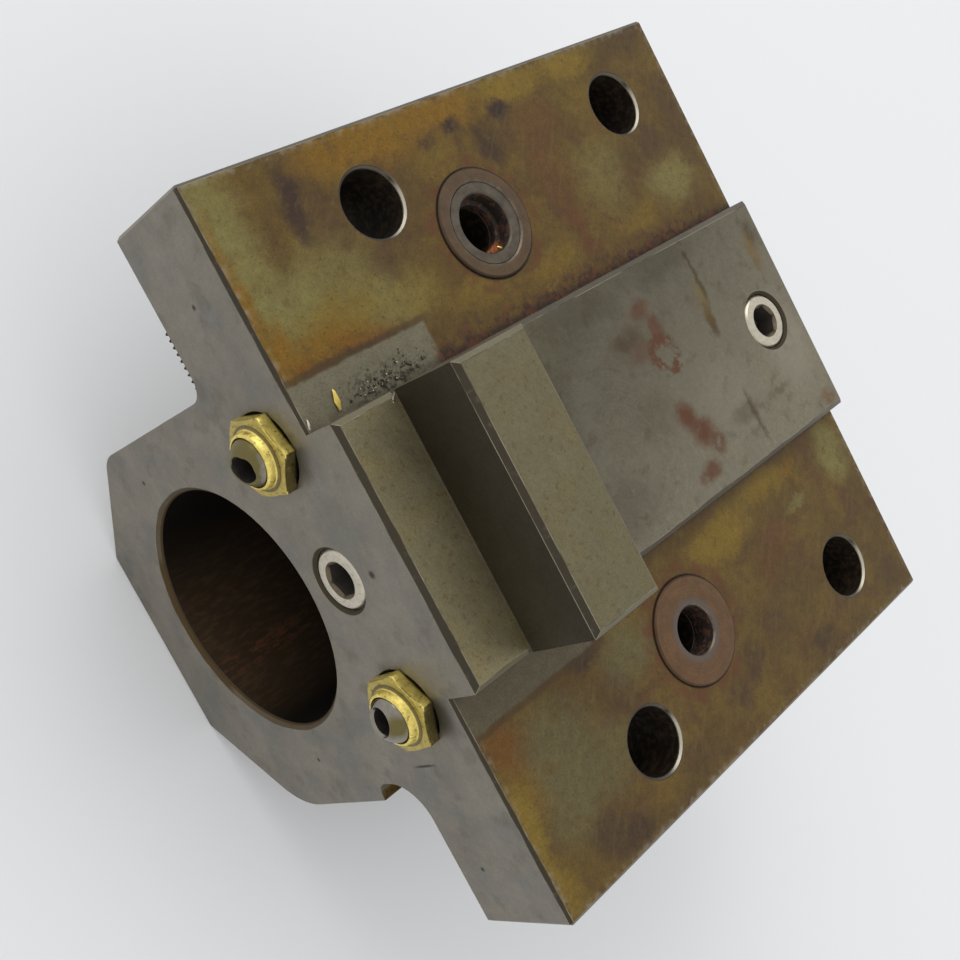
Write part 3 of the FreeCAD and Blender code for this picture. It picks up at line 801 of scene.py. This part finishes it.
def rusty_material(name):
    """The rust and dirt inside the coolant ports, with a bright orange spot low in the left one."""
    palette = colours()
    material, w, shader, point, _ = new_material(name)
    flakes = speckled(w, point, 0.55, 0.50)
    colour = w.mix(flakes, w.mix(0.5, palette.soot_and_shade, palette.plum), w.mix(0.6, palette.umber, palette.rust))
    spot = patch(w, point, (-12.0, 38.8, -3.3), (3.6, 2.2, 2.4))
    spot = w.times(spot, w.cloud(point, 0.9, 0.3, 0.5, detail=4.0))
    colour = w.mix(spot, colour, (0.40, 0.115, 0.035))
    w.put(shader.inputs["Base Color"], scaled(w, colour, blotchy(w, point, 1.4, 1.2)))
    shader.inputs["Metallic"].default_value = 0.1
    shader.inputs["Roughness"].default_value = 0.7
    bump(w, shader, flakes, 0.0002, 0.8)
    return material


def brass_material(name, centre):
    """Brass of one nozzle, dull on the hexagon and darker at the collar's foot and by the body, with
    painted shade on the hexagon's sides that face -Y and +Z.
    """
    palette = colours()
    material, w, shader, point, normal = new_material(name)
    x, y, z = w.split(point)
    _, ny, nz = w.split(normal)
    height = w.less(FRONT_X, x)
    reach = w.reach(y, centre[0], z, centre[1])
    colour = scaled(w, palette.brass, mottled(w, point, (0.5, 1.0), (2.4, 0.7)))
    dull = w.times(w.between(height, 2.3, 3.0, 0.15), w.smooth(reach, 5.5, 6.2))
    colour = w.cover(colour, w.mix(0.5, palette.gold, palette.pale), dull, 0.55)
    # Painted shade: the hexagon's sides that face -Y and +Z are darkened as the shaded side.
    sideways = w.math("ADD", w.times(ny, -0.6), w.times(nz, 0.8))
    facet = w.times(w.smooth(sideways, 0.8, 0.95), w.smooth(height, 2.6, 2.3))
    colour = w.cover(colour, palette.grime_and_shade, facet, w.cloud(point, 0.5, 0.2, 0.5, detail=4.0), 0.8)
    crease = w.times(w.between(height, 2.55, 2.9, 0.1), w.between(reach, 5.5, 6.1, 0.15))
    foot = w.smooth(height, 0.5, 0.05)
    colour = w.cover(colour, palette.grime_and_shade, w.most(foot, crease), 0.8)
    colour = w.cover(colour, palette.olive, speckled(w, point, 1.1, 0.44), 0.55)
    w.put(shader.inputs["Base Color"], colour)
    shader.inputs["Metallic"].default_value = 0.9
    w.put(shader.inputs["Roughness"], w.ramp(w.noise(point, 0.8), 0.25, 0.30))
    bump(w, shader, w.noise(point, 1.6, detail=4.0), 0.00010, 0.6)
    return material


def ball_material(name, centre, olive_patch_at, olive_patch_reach):
    """Polished steel with a dark olive patch that spreads from one place on the ball: an oil film on the
    left ball, and a painted reflection of brown surroundings on the right one.
    """
    palette = colours()
    material, w, shader, point, _ = new_material(name)
    place = Vector(centre) + Vector(olive_patch_at)
    away = w.vector("LENGTH", w.vector("SUBTRACT", point, tuple(place)), output=1)
    # The olive patch: oil film on the left ball, painted reflection on the right ball.
    wavy = w.ramp(w.less(w.noise(point, 0.7), 0.5), 1.6, away)
    film = w.smooth(wavy, *olive_patch_reach)
    colour = scaled(w, palette.polish, blotchy(w, point, 0.9, 0.35))
    colour = w.cover(colour, (0.125, 0.100, 0.020), film, 0.9)
    colour = w.cover(colour, palette.umber, speckled(w, point, 1.6, 0.42), 0.35)
    w.put(shader.inputs["Base Color"], colour)
    w.put(shader.inputs["Metallic"], w.ramp(film, -0.35, 1.0))
    w.put(shader.inputs["Roughness"], w.ramp(film, 0.2, 0.14))
    return material


def soft_material(name, base, rough):
    """Rubber or plastic with a slight mottling."""
    material, w, shader, point, _ = new_material(name)
    blotches = w.group(shared["blotches"], Point=point, Scale=1.2, Amount=0.3)
    w.put(shader.inputs["Base Color"], scaled(w, base, blotches["Tone"]))
    w.put(shader.inputs["Roughness"], w.ramp(blotches["Cloud"], 0.15, rough))
    bump(w, shader, blotches["Cloud"], 0.00003, 0.5)
    return material


# Mesh making


def hexagon_reach(flats, angle):
    """Distance from the middle to a hexagon's outline, with a corner at angle zero."""
    sector = math.radians(60)
    return flats / 2 / math.cos(angle % sector - sector / 2)


def ring_reach(round_r, flats, angle):
    """The nearer of a circle and a hexagon, where a ring has both; the circle may vary with the angle."""
    limits = []
    if callable(round_r):
        limits.append(round_r(angle))
    elif round_r is not None:
        limits.append(round_r)
    if flats is not None:
        limits.append(hexagon_reach(flats, angle))
    return min(limits)


def axis_matrix(at, along, turn=0.0):
    """Matrix that puts local +Z along a direction at a point, turned about it."""
    leaning = UP.rotation_difference(along).to_matrix().to_4x4()
    return Matrix.Translation(at) @ leaning @ Matrix.Rotation(turn, 4, "Z")


def add_rings(bm, rings, around, matrix, closed=False):
    """Joins rings of (height, circle radius, hexagon flats), in millimetres, with quads.

    A fourth value is the material slot of the band that runs on to the next ring.
    """
    rows = []
    for height, round_r, flats, *_ in rings:
        row = []
        for i in range(around):
            angle = 2 * math.pi * i / around
            r = ring_reach(round_r, flats, angle)
            local = Vector((r * math.cos(angle), r * math.sin(angle), height)) * MM
            row.append(bm.verts.new(matrix @ local))
        rows.append(row)
    slots = [ring[3] if len(ring) > 3 else 0 for ring in rings]
    pairs = list(zip(rows, rows[1:]))
    if closed:
        pairs.append((rows[-1], rows[0]))
    for (low, high), slot in zip(pairs, slots):
        for i in range(around):
            j = (i + 1) % around
            bm.faces.new((low[i], low[j], high[j], high[i])).material_index = slot
    if not closed:
        for row, slot in ((rows[0], slots[0]), (rows[-1], slots[-1])):
            bm.faces.new(row).material_index = slot


def mesh_piece(name, bm, body, materials, replaces, bevel=0.0):
    """Turns a bmesh into a finished piece that rides on a body."""
    bmesh.ops.remove_doubles(bm, verts=bm.verts[:], dist=0.002 * MM)
    bmesh.ops.recalc_face_normals(bm, faces=bm.faces[:])
    mesh = bpy.data.meshes.new(name)
    bm.to_mesh(mesh)
    bm.free()
    piece = bpy.data.objects.new(name, mesh)
    bpy.context.scene.collection.objects.link(piece)
    for item in materials:
        mesh.materials.append(item)
    if bevel > 0:
        soften = piece.modifiers.new("soften", "BEVEL")
        soften.width = bevel
        soften.segments = 2
        soften.limit_method = "ANGLE"
        soften.angle_limit = math.radians(28)
        bake_modifiers(piece)
    mesh = piece.data
    mesh.shade_smooth()
    mesh.set_sharp_from_angle(angle=math.radians(32))
    place_piece(piece, body, replaces)
    return piece


def bake_modifiers(piece):
    """Turns what the modifiers make into a plain mesh, and removes them."""
    graph = bpy.context.evaluated_depsgraph_get()
    graph.update()
    made = bpy.data.meshes.new_from_object(piece.evaluated_get(graph))
    old = piece.data
    piece.modifiers.clear()
    piece.data = made
    made.name = piece.name
    bpy.data.meshes.remove(old)


def place_piece(piece, body, replaces):
    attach(piece, body)
    if replaces:
        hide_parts(replaces)


def mouth_of(node, out=UP):
    """A turned node's outer end on its axis, its radius and its length, the last two in millimetres."""
    low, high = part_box(node)
    length = abs((high - low).dot(out))
    radius = sorted(high - low)[-1] / 2
    return (low + high) / 2 + out * length / 2, radius / MM, length / MM


# Operators


class HolderOperator:
    bl_options = {"REGISTER"}


class AddHolderBody(HolderOperator, bpy.types.Operator):
    """Dresses the machined body: its sharp outer edges get a narrow worn strip"""

    bl_idname = "bar_holder.add_body"
    bl_label = "Holder body"

    def execute(self, context):
        bm = bmesh.new()
        bm.from_mesh(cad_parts["holder_body"].data)
        bmesh.ops.remove_doubles(bm, verts=bm.verts[:], dist=0.001 * MM)
        bmesh.ops.dissolve_limit(
            bm, angle_limit=math.radians(0.5), verts=bm.verts[:], edges=bm.edges[:],
            use_dissolve_boundaries=False)
        sharp = []
        for edge in bm.edges:
            if len(edge.link_faces) == 2 and edge.calc_face_angle_signed(0.0) > math.radians(40):
                sharp.append(edge)
        if not sharp:
            raise RuntimeError("the body has no sharp outer edges")
        bmesh.ops.bevel(
            bm, geom=sharp, offset=sizes().edge_width, offset_type="WIDTH", segments=1, profile=0.5,
            affect="EDGES", clamp_overlap=False, material=1)
        for face in bm.faces:
            face.smooth = True
        mesh = bpy.data.meshes.new("holder_shell")
        bm.to_mesh(mesh)
        bm.free()
        given = mesh.attributes.get("custom_normal")
        if given:
            mesh.attributes.remove(given)
        piece = bpy.data.objects.new("holder_shell", mesh)
        context.scene.collection.objects.link(piece)
        mesh.materials.append(holder_material("holder_steel"))
        mesh.materials.append(edge_material("holder_edges"))
        mesh.set_sharp_from_angle(angle=math.radians(14))
        place_piece(piece, "holder", "holder_body")
        return {"FINISHED"}


def thread_tree():
    """Geometry nodes for a length of threaded stock: a grid rolled round +Z with a helical thread."""
    tree = bpy.data.node_groups.new("threaded_stock", "GeometryNodeTree")
    tree.interface.new_socket("Geometry", in_out="OUTPUT", socket_type="NodeSocketGeometry")
    for name in ("Length", "Radius", "Pitch", "Depth", "Chamfer"):
        tree.interface.new_socket(name, in_out="INPUT", socket_type=FLOAT)
    for name in ("Around", "Along"):
        tree.interface.new_socket(name, in_out="INPUT", socket_type="NodeSocketInt")
    tree.interface.new_socket("Material", in_out="INPUT", socket_type="NodeSocketMaterial")
    w = Wiring(tree)
    given = tree.nodes.new("NodeGroupInput").outputs
    grid = w.node("GeometryNodeMeshGrid", (1.0, 1.0, given["Around"], given["Along"]))
    x, y, _ = w.split(w.node("GeometryNodeInputPosition").outputs[0])
    turn = w.math("ADD", x, 0.5)
    run = w.times(w.math("ADD", y, 0.5), given["Length"])
    phase = w.math("FRACT", w.less(w.math("DIVIDE", run, given["Pitch"]), turn))
    ridge = w.size(w.ramp(phase, 2.0, -1.0))
    ridge = w.ramp(ridge, 1.35, -0.15, clamp=True)
    threaded = w.less(given["Radius"], w.times(ridge, given["Depth"]))
    from_end = w.math("MINIMUM", run, w.less(given["Length"], run))
    ends = w.math("ADD", w.less(given["Radius"], given["Chamfer"]), from_end)
    reach = w.math("MINIMUM", threaded, ends)
    angle = w.times(turn, 2 * math.pi)
    rolled = w.join(w.times(reach, w.math("COSINE", angle)), w.times(reach, w.math("SINE", angle)), run)
    moved = w.node("GeometryNodeSetPosition")
    w.put(moved.inputs["Geometry"], grid.outputs["Mesh"])
    w.put(moved.inputs["Position"], rolled)
    welded = w.node("GeometryNodeMergeByDistance")
    w.put(welded.inputs["Geometry"], moved.outputs[0])
    welded.inputs["Distance"].default_value = 0.000001
    real = w.node("GeometryNodeRealizeInstances")
    w.put(real.inputs["Geometry"], welded.outputs[0])
    painted = w.node("GeometryNodeSetMaterial")
    w.put(painted.inputs["Geometry"], real.outputs[0])
    w.put(painted.inputs["Material"], given["Material"])
    tree.links.new(painted.outputs[0], tree.nodes.new("NodeGroupOutput").inputs["Geometry"])
    return tree


def set_inputs(modifier, values):
    """Sets a geometry nodes modifier's inputs by the sockets' identifiers."""
    for item in modifier.node_group.interface.items_tree:
        if item.in_out == "INPUT" and item.name in values:
            modifier[item.identifier] = values[item.name]


class AddClampScrews(HolderOperator, bpy.types.Operator):
    """Makes the clamp screws with their threads, hexagon sockets and cup points"""

    bl_idname = "bar_holder.add_clamp_screws"
    bl_label = "Clamp screws"

    def execute(self, context):
        s = sizes()
        material = plain_metal("screw_steel", colours().black, 0.42, 0.5, 0.4, metallic=0.9, scale=0.8)
        # The socket is painted near black, as the shade and dirt inside it.
        socket = recess_material("screw_socket", (0.030, 0.026, 0.022))
        tree = thread_tree()
        names = sorted(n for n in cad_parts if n.startswith("clamp_screw_"))
        if not names:
            raise RuntimeError("the frame has no clamp screws")
        for name in names:
            low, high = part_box(name)
            length = high.y - low.y
            radius = (high.x - low.x) / 2
            tip = Vector(((low.x + high.x) / 2, low.y, (low.z + high.z) / 2))
            around = 48
            stock = bpy.data.objects.new(name + "_stock", bpy.data.meshes.new(name + "_stock"))
            context.scene.collection.objects.link(stock)
            modifier = stock.modifiers.new("thread", "NODES")
            modifier.node_group = tree
            set_inputs(modifier, {
                "Length": length, "Radius": radius, "Pitch": s.thread_pitch, "Depth": s.thread_depth,
                "Chamfer": s.screw_chamfer, "Around": around + 1, "Along": 241, "Material": material})
            bake_modifiers(stock)
            matrix = axis_matrix(tip, TO_LEFT)
            bm = bmesh.new()
            bm.from_mesh(stock.data)
            bm.transform(matrix)
            old = stock.data
            bpy.data.objects.remove(stock)
            bpy.data.meshes.remove(old)
            end = (radius - s.screw_chamfer) / MM
            top = length / MM
            cup = [(0, end, None), (0, 2.5, None), (0.9, 0.8, None), (1.2, 0.05, None)]
            add_rings(bm, cup, around, matrix)
            add_rings(bm, [
                (top, end, None), (top, 3.05, None), (top - 0.3, 2.95, 5.0, 1),
                (top - 6.0, None, 5.0, 1), (top - 6.8, 0.05, None, 1)], around, matrix)
            drop_lids(bm, [tip, tip + TO_LEFT * length], end * MM)
            mesh_piece(name + "_threaded", bm, name, [material, socket], name)
        return {"FINISHED"}


def drop_lids(bm, centres, radius):
    """Removes the flat lids that close a run of rings where it joins the threaded stock."""
    lids = []
    for face in bm.faces:
        if len(face.verts) < 12:
            continue
        middle = face.calc_center_median()
        reach = (face.verts[0].co - middle).length
        if any((middle - c).length < 0.1 * MM for c in centres) and abs(reach - radius) < 0.05 * MM:
            lids.append(face)
    bmesh.ops.delete(bm, geom=lids, context="FACES_ONLY")


class AddPlugs(HolderOperator, bpy.types.Operator):
    """Makes the screwed plugs that close the drillings"""

    bl_idname = "bar_holder.add_plugs"
    bl_label = "Screwed plugs"

    def execute(self, context):
        s = sizes()
        materials = [
            plain_metal("plug_nickel", colours().nickel, 0.34, 0.5, 0.45, metallic=0.95, scale=0.8),
            recess_material("plug_lead_in", (0.135, 0.108, 0.070), metallic=0.7, rough=0.45),
            # The socket is painted near black, as the shade and dirt inside it.
            recess_material("plug_socket", (0.045, 0.038, 0.030)),
        ]
        outward = {
            "gallery_plug_front": TO_FRONT,
            "gallery_plug_key": UP,
            "gallery_plug_left": TO_LEFT,
            "gallery_plug_right": TO_RIGHT,
        }
        for name, out in outward.items():
            mouth, radius, length = mouth_of(name, out)
            rings = [
                (-length, radius - 0.6, None),
                (0.6 - length, radius, None),
                (-0.6, radius, None),
                (0, radius - 0.6, None),
                (0, 3.65, None, 1),
                (-0.65, None, 6.0, 2),
                (-5.0, None, 6.0, 2),
                (-5.6, 0.1, None, 2),
            ]
            bm = bmesh.new()
            add_rings(bm, rings, s.around, axis_matrix(mouth, out))
            soft = s.soft_edge * 0.6
            mesh_piece(name + "_piece", bm, "holder", materials, name, bevel=soft)
        return {"FINISHED"}


class AddPorts(HolderOperator, bpy.types.Operator):
    """Makes the coolant port rings and the sleeve in the left one"""

    bl_idname = "bar_holder.add_ports"
    bl_label = "Coolant ports"

    def execute(self, context):
        s = sizes()
        bright = plain_metal("port_edge", (0.13, 0.105, 0.078), 0.36, 2.4, 0.8, metallic=0.8, scale=0.35)
        rusty = rusty_material("port_rust")
        for side, haze in (("left", 0.0), ("right", 0.85)):
            node = "port_bush_" + side
            mouth, outer, deep = mouth_of(node)
            rings = [(-deep, outer, None), (-0.35, outer, None), (0, outer - 0.35, None)]
            if side == "left":
                rings += [
                    (0, 8.45, None, 1), (-0.32, 8.05, None, 2), (-3.8, 8.05, None, 2), (-3.8, 4.8, None, 2)]
            else:
                rings += [(0, 5.15, None, 1), (-0.35, 4.8, None, 2)]
            rings.append((-deep, 4.8, None, 2))
            centre = (mouth.x / MM, mouth.y / MM)
            material = ring_material("port_ring_" + side, centre, 0.5 - haze / 2, haze)
            bm = bmesh.new()
            add_rings(bm, rings, s.around, axis_matrix(mouth, UP), closed=True)
            mesh_piece(
                node + "_ring", bm, "holder", [material, bright, rusty], node,
                bevel=s.soft_edge * 0.5)
        mouth, outer, deep = mouth_of("port_sleeve_left")
        rings = [
            (-deep, outer, None), (0, outer, None), (0, 6.2, None), (-0.4, 5.8, None, 1),
            (-deep, 5.8, None)]
        bm = bmesh.new()
        add_rings(bm, rings, s.around, axis_matrix(mouth, UP), closed=True)
        base = (0.098, 0.082, 0.062)
        material = plain_metal("sleeve_steel", base, 0.42, 1.6, 0.7, metallic=0.7, scale=0.4)
        mesh_piece(
            "port_sleeve_left_piece", bm, "holder", [material, rusty], "port_sleeve_left",
            bevel=s.soft_edge * 0.5)
        return {"FINISHED"}


class AddNozzles(HolderOperator, bpy.types.Operator):
    """Makes the brass nozzle bodies and the polished balls"""

    bl_idname = "bar_holder.add_nozzles"
    bl_label = "Coolant nozzles"

    def execute(self, context):
        s = sizes()
        # The jet bore is painted near black, as the shade and dirt inside it.
        jet = recess_material("jet_bore", (0.020, 0.016, 0.012), metallic=0.2)
        front = FRONT_X * MM
        # The olive patch on each ball is an oil film on the left one and a painted reflection on the right
        # one.
        nozzles = (
            ("left", 41.5, 12.0, 146.0, (-3.15, 2.22, -2.86), (8.1, 7.2)),
            ("right", 27.0, 11.5, 352.0, (-3.31, -0.90, 3.36), (3.0, 1.2)),
        )
        for side, hex_turn, tilt, aim, olive_patch_at, olive_patch_reach in nozzles:
            node = "nozzle_body_" + side
            low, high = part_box(node)
            at = Vector((front, (low.y + high.y) / 2, (low.z + high.z) / 2))
            reach = (front - low.x) / MM
            deep = (high.x - front) / MM
            corner = 14.0 / math.sqrt(3)
            cavity = 4.95
            rings = [
                (-deep, cavity, None),
                (-deep, 5.8, None),
                (0.8 - deep, 6.6, None),
                (0, 6.6, None),
                (0, None, 13.9),
                (0.15, None, 14.0),
                (2.1, corner, 14.0),
                (2.4, corner - 0.45, 14.0),
                (2.66, corner - 1.0, 14.0),
                (2.62, 6.4, None),
                (2.66, 6.0, None),
                (2.82, 5.65, None),
                (3.1, 5.42, None),
                (3.5, 5.34, None),
                (reach - 0.35, 5.2, None),
                (reach - 0.1, 5.02, None),
                (reach, 4.8, None),
                (reach - 0.02, 4.62, None),
                (reach - 0.4, 4.66, None),
                (3.4, 4.85, None),
                (2.4, cavity, None),
            ]
            bm = bmesh.new()
            turn = nozzle_turn(axis_matrix(at, TO_FRONT), hex_turn)
            add_rings(bm, rings, s.around, axis_matrix(at, TO_FRONT, turn), closed=True)
            brass = brass_material("nozzle_brass_" + side, (at.y / MM, at.z / MM))
            soft = s.soft_edge * 0.5
            mesh_piece(node + "_brass", bm, "holder", [brass], node, bevel=soft)
            centre = at + TO_FRONT * 2.4 * MM
            steel = ball_material("ball_steel_" + side, centre / MM, olive_patch_at, olive_patch_reach)
            self.add_ball(side, centre, tilt, aim, [steel, jet])
        return {"FINISHED"}

    def add_ball(self, side, centre, tilt, aim, materials):
        """A ball with a round jet hole; the left one's mouth is ragged from wear."""
        radius = 4.8
        flat = 3.85
        jet_r = 2.4
        sway = math.sin(math.radians(tilt))
        jet = Vector((
            -math.cos(math.radians(tilt)),
            sway * math.cos(math.radians(aim)),
            sway * math.sin(math.radians(aim)),
        ))
        mouth, cone_slot = (ragged_mouth, 1) if side == "left" else (2.78, 0)
        rings = [(flat - 0.55, jet_r, None, cone_slot), (flat, mouth, None)]
        start = math.acos(flat / radius)
        end = math.pi - math.asin(jet_r / radius)
        steps = 26
        for i in range(steps + 1):
            angle = start + (end - start) * i / steps
            rings.append((radius * math.cos(angle), radius * math.sin(angle), None, 1 if i == steps else 0))
        bm = bmesh.new()
        add_rings(bm, rings, 72, axis_matrix(centre, jet), closed=True)
        node = "nozzle_ball_" + side
        mesh_piece(node + "_polished", bm, "ball_" + side, materials, node)


def ragged_mouth(angle):
    """Radius in millimetres of a jet hole's mouth with a few uneven notches."""
    notch = abs(math.sin(2.5 * angle + 0.4)) * (0.7 + 0.3 * math.sin(angle))
    return 2.42 + 0.36 * notch


def nozzle_turn(matrix, degrees):
    """Turn about the local axis that brings local +X to the stated angle from +Y, toward +Z."""
    wanted = Vector((0, math.cos(math.radians(degrees)), math.sin(math.radians(degrees))))
    local = matrix.to_3x3().inverted() @ wanted
    return math.atan2(local.y, local.x)


class AddSwarf(HolderOperator, bpy.types.Operator):
    """Strews the small metal chips that lie beside the pad"""

    bl_idname = "bar_holder.add_swarf"
    bl_label = "Loose chips"

    def execute(self, context):
        draw = random.Random(7)
        grit = plain_metal("chip_grit", (0.10, 0.09, 0.075), 0.35, 1.6, 0.5, scale=2.5)
        yellow = plain_metal("chip_brass", (0.72, 0.56, 0.14), 0.38, 0.3, 0.0, scale=2.0)
        silver = plain_metal("chip_steel", (0.70, 0.66, 0.56), 0.3, 0.3, 0.1, scale=2.0)
        bm = bmesh.new()
        for _ in range(60):
            x = draw.gauss(-51, 5.0)
            y = 25.6 + abs(draw.gauss(0, 2.0))
            size = draw.uniform(0.15, 0.55)
            add_chip(bm, (x, y, size * 0.3), (size * 1.6, size, size * 0.8), draw)
        for _ in range(16):
            size = draw.uniform(0.12, 0.30)
            place = (draw.uniform(-36, 24), 25.2 + abs(draw.gauss(0, 0.8)), size * 0.3)
            add_chip(bm, place, (size * 1.5, size, size), draw)
        mesh_piece("grit_chips", bm, "holder", [grit], None)
        bm = bmesh.new()
        add_chip(bm, (-61.9, 27.3, 0.35), (1.1, 4.4, 0.4), draw, -0.2)
        add_chip(bm, (-12.3, 38.5, -0.5), (1.6, 0.5, 0.5), draw, -0.6)
        mesh_piece("yellow_chips", bm, "holder", [yellow], None)
        bm = bmesh.new()
        add_chip(bm, (-69.0, 26.0, 0.2), (0.5, 2.2, 0.25), draw, -0.3)
        add_chip(bm, (-57.2, 23.6, 8.35), (2.2, 0.5, 0.2), draw, 0.8)
        for _ in range(9):
            place = (draw.gauss(-51, 3.5), 26.0 + abs(draw.gauss(0, 1.2)), 0.2)
            add_chip(bm, place, (0.35, 0.25, 0.25), draw)
        mesh_piece("silver_chips", bm, "holder", [silver], None)
        return {"FINISHED"}


def add_chip(bm, at, size, draw, turn=None):
    """A bent flake with uneven corners, at a place in millimetres."""
    made = bmesh.ops.create_icosphere(bm, subdivisions=1, radius=0.5)["verts"]
    angle = draw.uniform(0, math.pi) if turn is None else turn
    spin = Matrix.Rotation(angle, 3, "Z")
    for vert in made:
        ragged = Vector(vert.co[i] * size[i] * draw.uniform(0.75, 1.25) for i in range(3))
        vert.co = (Vector(at) + spin @ ragged) * MM


class PaintInnerPieces(HolderOperator, bpy.types.Operator):
    """Gives the pieces inside the ports and nozzles their materials"""

    bl_idname = "bar_holder.paint_inner_pieces"
    bl_label = "Inner pieces"

    def execute(self, context):
        rubber = soft_material("seal_rubber", (0.03, 0.03, 0.03), 0.6)
        plastic = soft_material("seat_plastic", (0.78, 0.77, 0.72), 0.45)
        brass = plain_metal("retainer_brass", colours().brass, 0.38, 0.4, 0.3)
        for node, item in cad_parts.items():
            if node.startswith("port_seal"):
                paint(item, rubber)
            elif node.startswith("nozzle_seat"):
                paint(item, plastic)
            elif node.startswith("nozzle_retainer"):
                paint(item, brass)
        return {"FINISHED"}


def paint(item, material):
    while len(item.material_slots) < 1:
        item.data.materials.append(material)
    for slot in item.material_slots:
        slot.link = "OBJECT"
        slot.material = material


class SetStage(HolderOperator, bpy.types.Operator):
    """Sets the floor, the light and the camera"""

    bl_idname = "bar_holder.set_stage"
    bl_label = "Stage"

    def execute(self, context):
        stage = context.scene.holder_stage
        self.add_floor(stage)
        self.add_sky(stage)
        self.add_lamp(stage, (0.13, 1.95, 1.42), 2.0)
        self.add_camera(stage)
        context.scene.view_settings.view_transform = "Standard"
        return {"FINISHED"}

    def add_floor(self, stage):
        bm = bmesh.new()
        bmesh.ops.create_grid(bm, x_segments=1, y_segments=1, size=4.0)
        mesh = bpy.data.meshes.new("floor")
        bm.to_mesh(mesh)
        bm.free()
        floor = bpy.data.objects.new("floor", mesh)
        floor.location.z = CAD_BOX[0].z - 0.0002
        bpy.context.scene.collection.objects.link(floor)
        material, w, shader, _, _ = new_material("pale_floor")
        w.put(shader.inputs["Base Color"], stage.floor_colour)
        shader.inputs["Roughness"].default_value = 0.7
        mesh.materials.append(material)

    def add_sky(self, stage):
        world = bpy.data.worlds.new("plain_sky")
        bpy.context.scene.world = world
        world.use_nodes = True
        w = Wiring(world.node_tree)
        background = world.node_tree.nodes["Background"]
        background.inputs["Color"].default_value = (1.0, 1.0, 1.0, 1.0)
        rays = w.node("ShaderNodeLightPath")
        shown = w.ramp(rays.outputs["Is Camera Ray"], 1.0 - stage.sky_level, stage.sky_level)
        w.put(background.inputs["Strength"], shown)

    def add_lamp(self, stage, place, size):
        lamp = bpy.data.lights.new("soft_lamp", "AREA")
        lamp.shape = "DISK"
        lamp.size = size
        lamp.energy = stage.lamp_level
        holder = bpy.data.objects.new("soft_lamp", lamp)
        holder.location = place
        aim = Vector((0, 0, -0.03)) - Vector(place)
        holder.rotation_euler = aim.to_track_quat("-Z", "Y").to_euler()
        bpy.context.scene.collection.objects.link(holder)

    def add_camera(self, stage):
        lens = bpy.data.cameras.new("camera")
        lens.lens = stage.lens
        lens.sensor_width = 36.0
        lens.shift_x = -0.01925
        lens.shift_y = -0.00735
        lens.clip_start = 0.01
        camera = bpy.data.objects.new("camera", lens)
        camera.location = (-0.188766, 0.028144, 0.185355)
        camera.rotation_euler = (0.277408, -0.638575, -0.612959)
        bpy.context.scene.collection.objects.link(camera)
        bpy.context.scene.camera = camera


class HolderPanel(bpy.types.Panel):
    """Lists the holder's pieces in the sidebar"""

    bl_idname = "VIEW3D_PT_bar_holder"
    bl_label = "Bar Holder"
    bl_space_type = "VIEW_3D"
    bl_region_type = "UI"
    bl_category = "Bar Holder"

    def draw(self, context):
        for operator in OPERATORS:
            self.layout.operator(operator.bl_idname)


OPERATORS = (
    AddHolderBody, AddClampScrews, AddPlugs, AddPorts, AddNozzles, AddSwarf, PaintInnerPieces, SetStage)
GROUPS = (HolderSizes, HolderColours, HolderStage)


def register():
    for item in (*GROUPS, *OPERATORS, HolderPanel):
        bpy.utils.register_class(item)
    bpy.types.Scene.holder_sizes = bpy.props.PointerProperty(type=HolderSizes)
    bpy.types.Scene.holder_colours = bpy.props.PointerProperty(type=HolderColours)
    bpy.types.Scene.holder_stage = bpy.props.PointerProperty(type=HolderStage)


def unregister():
    del bpy.types.Scene.holder_stage
    del bpy.types.Scene.holder_colours
    del bpy.types.Scene.holder_sizes
    for item in reversed((*GROUPS, *OPERATORS, HolderPanel)):
        bpy.utils.unregister_class(item)


def main():
    register()
    shared["patch"] = build_patch_group()
    shared["specks"] = build_speck_group()
    shared["blotches"] = build_blotch_group()
    for name in ("add_body", "add_clamp_screws", "add_plugs", "add_ports", "add_nozzles", "add_swarf",
                 "paint_inner_pieces", "set_stage"):
        getattr(bpy.ops.bar_holder, name)()


if __name__ == "__main__":
    main()
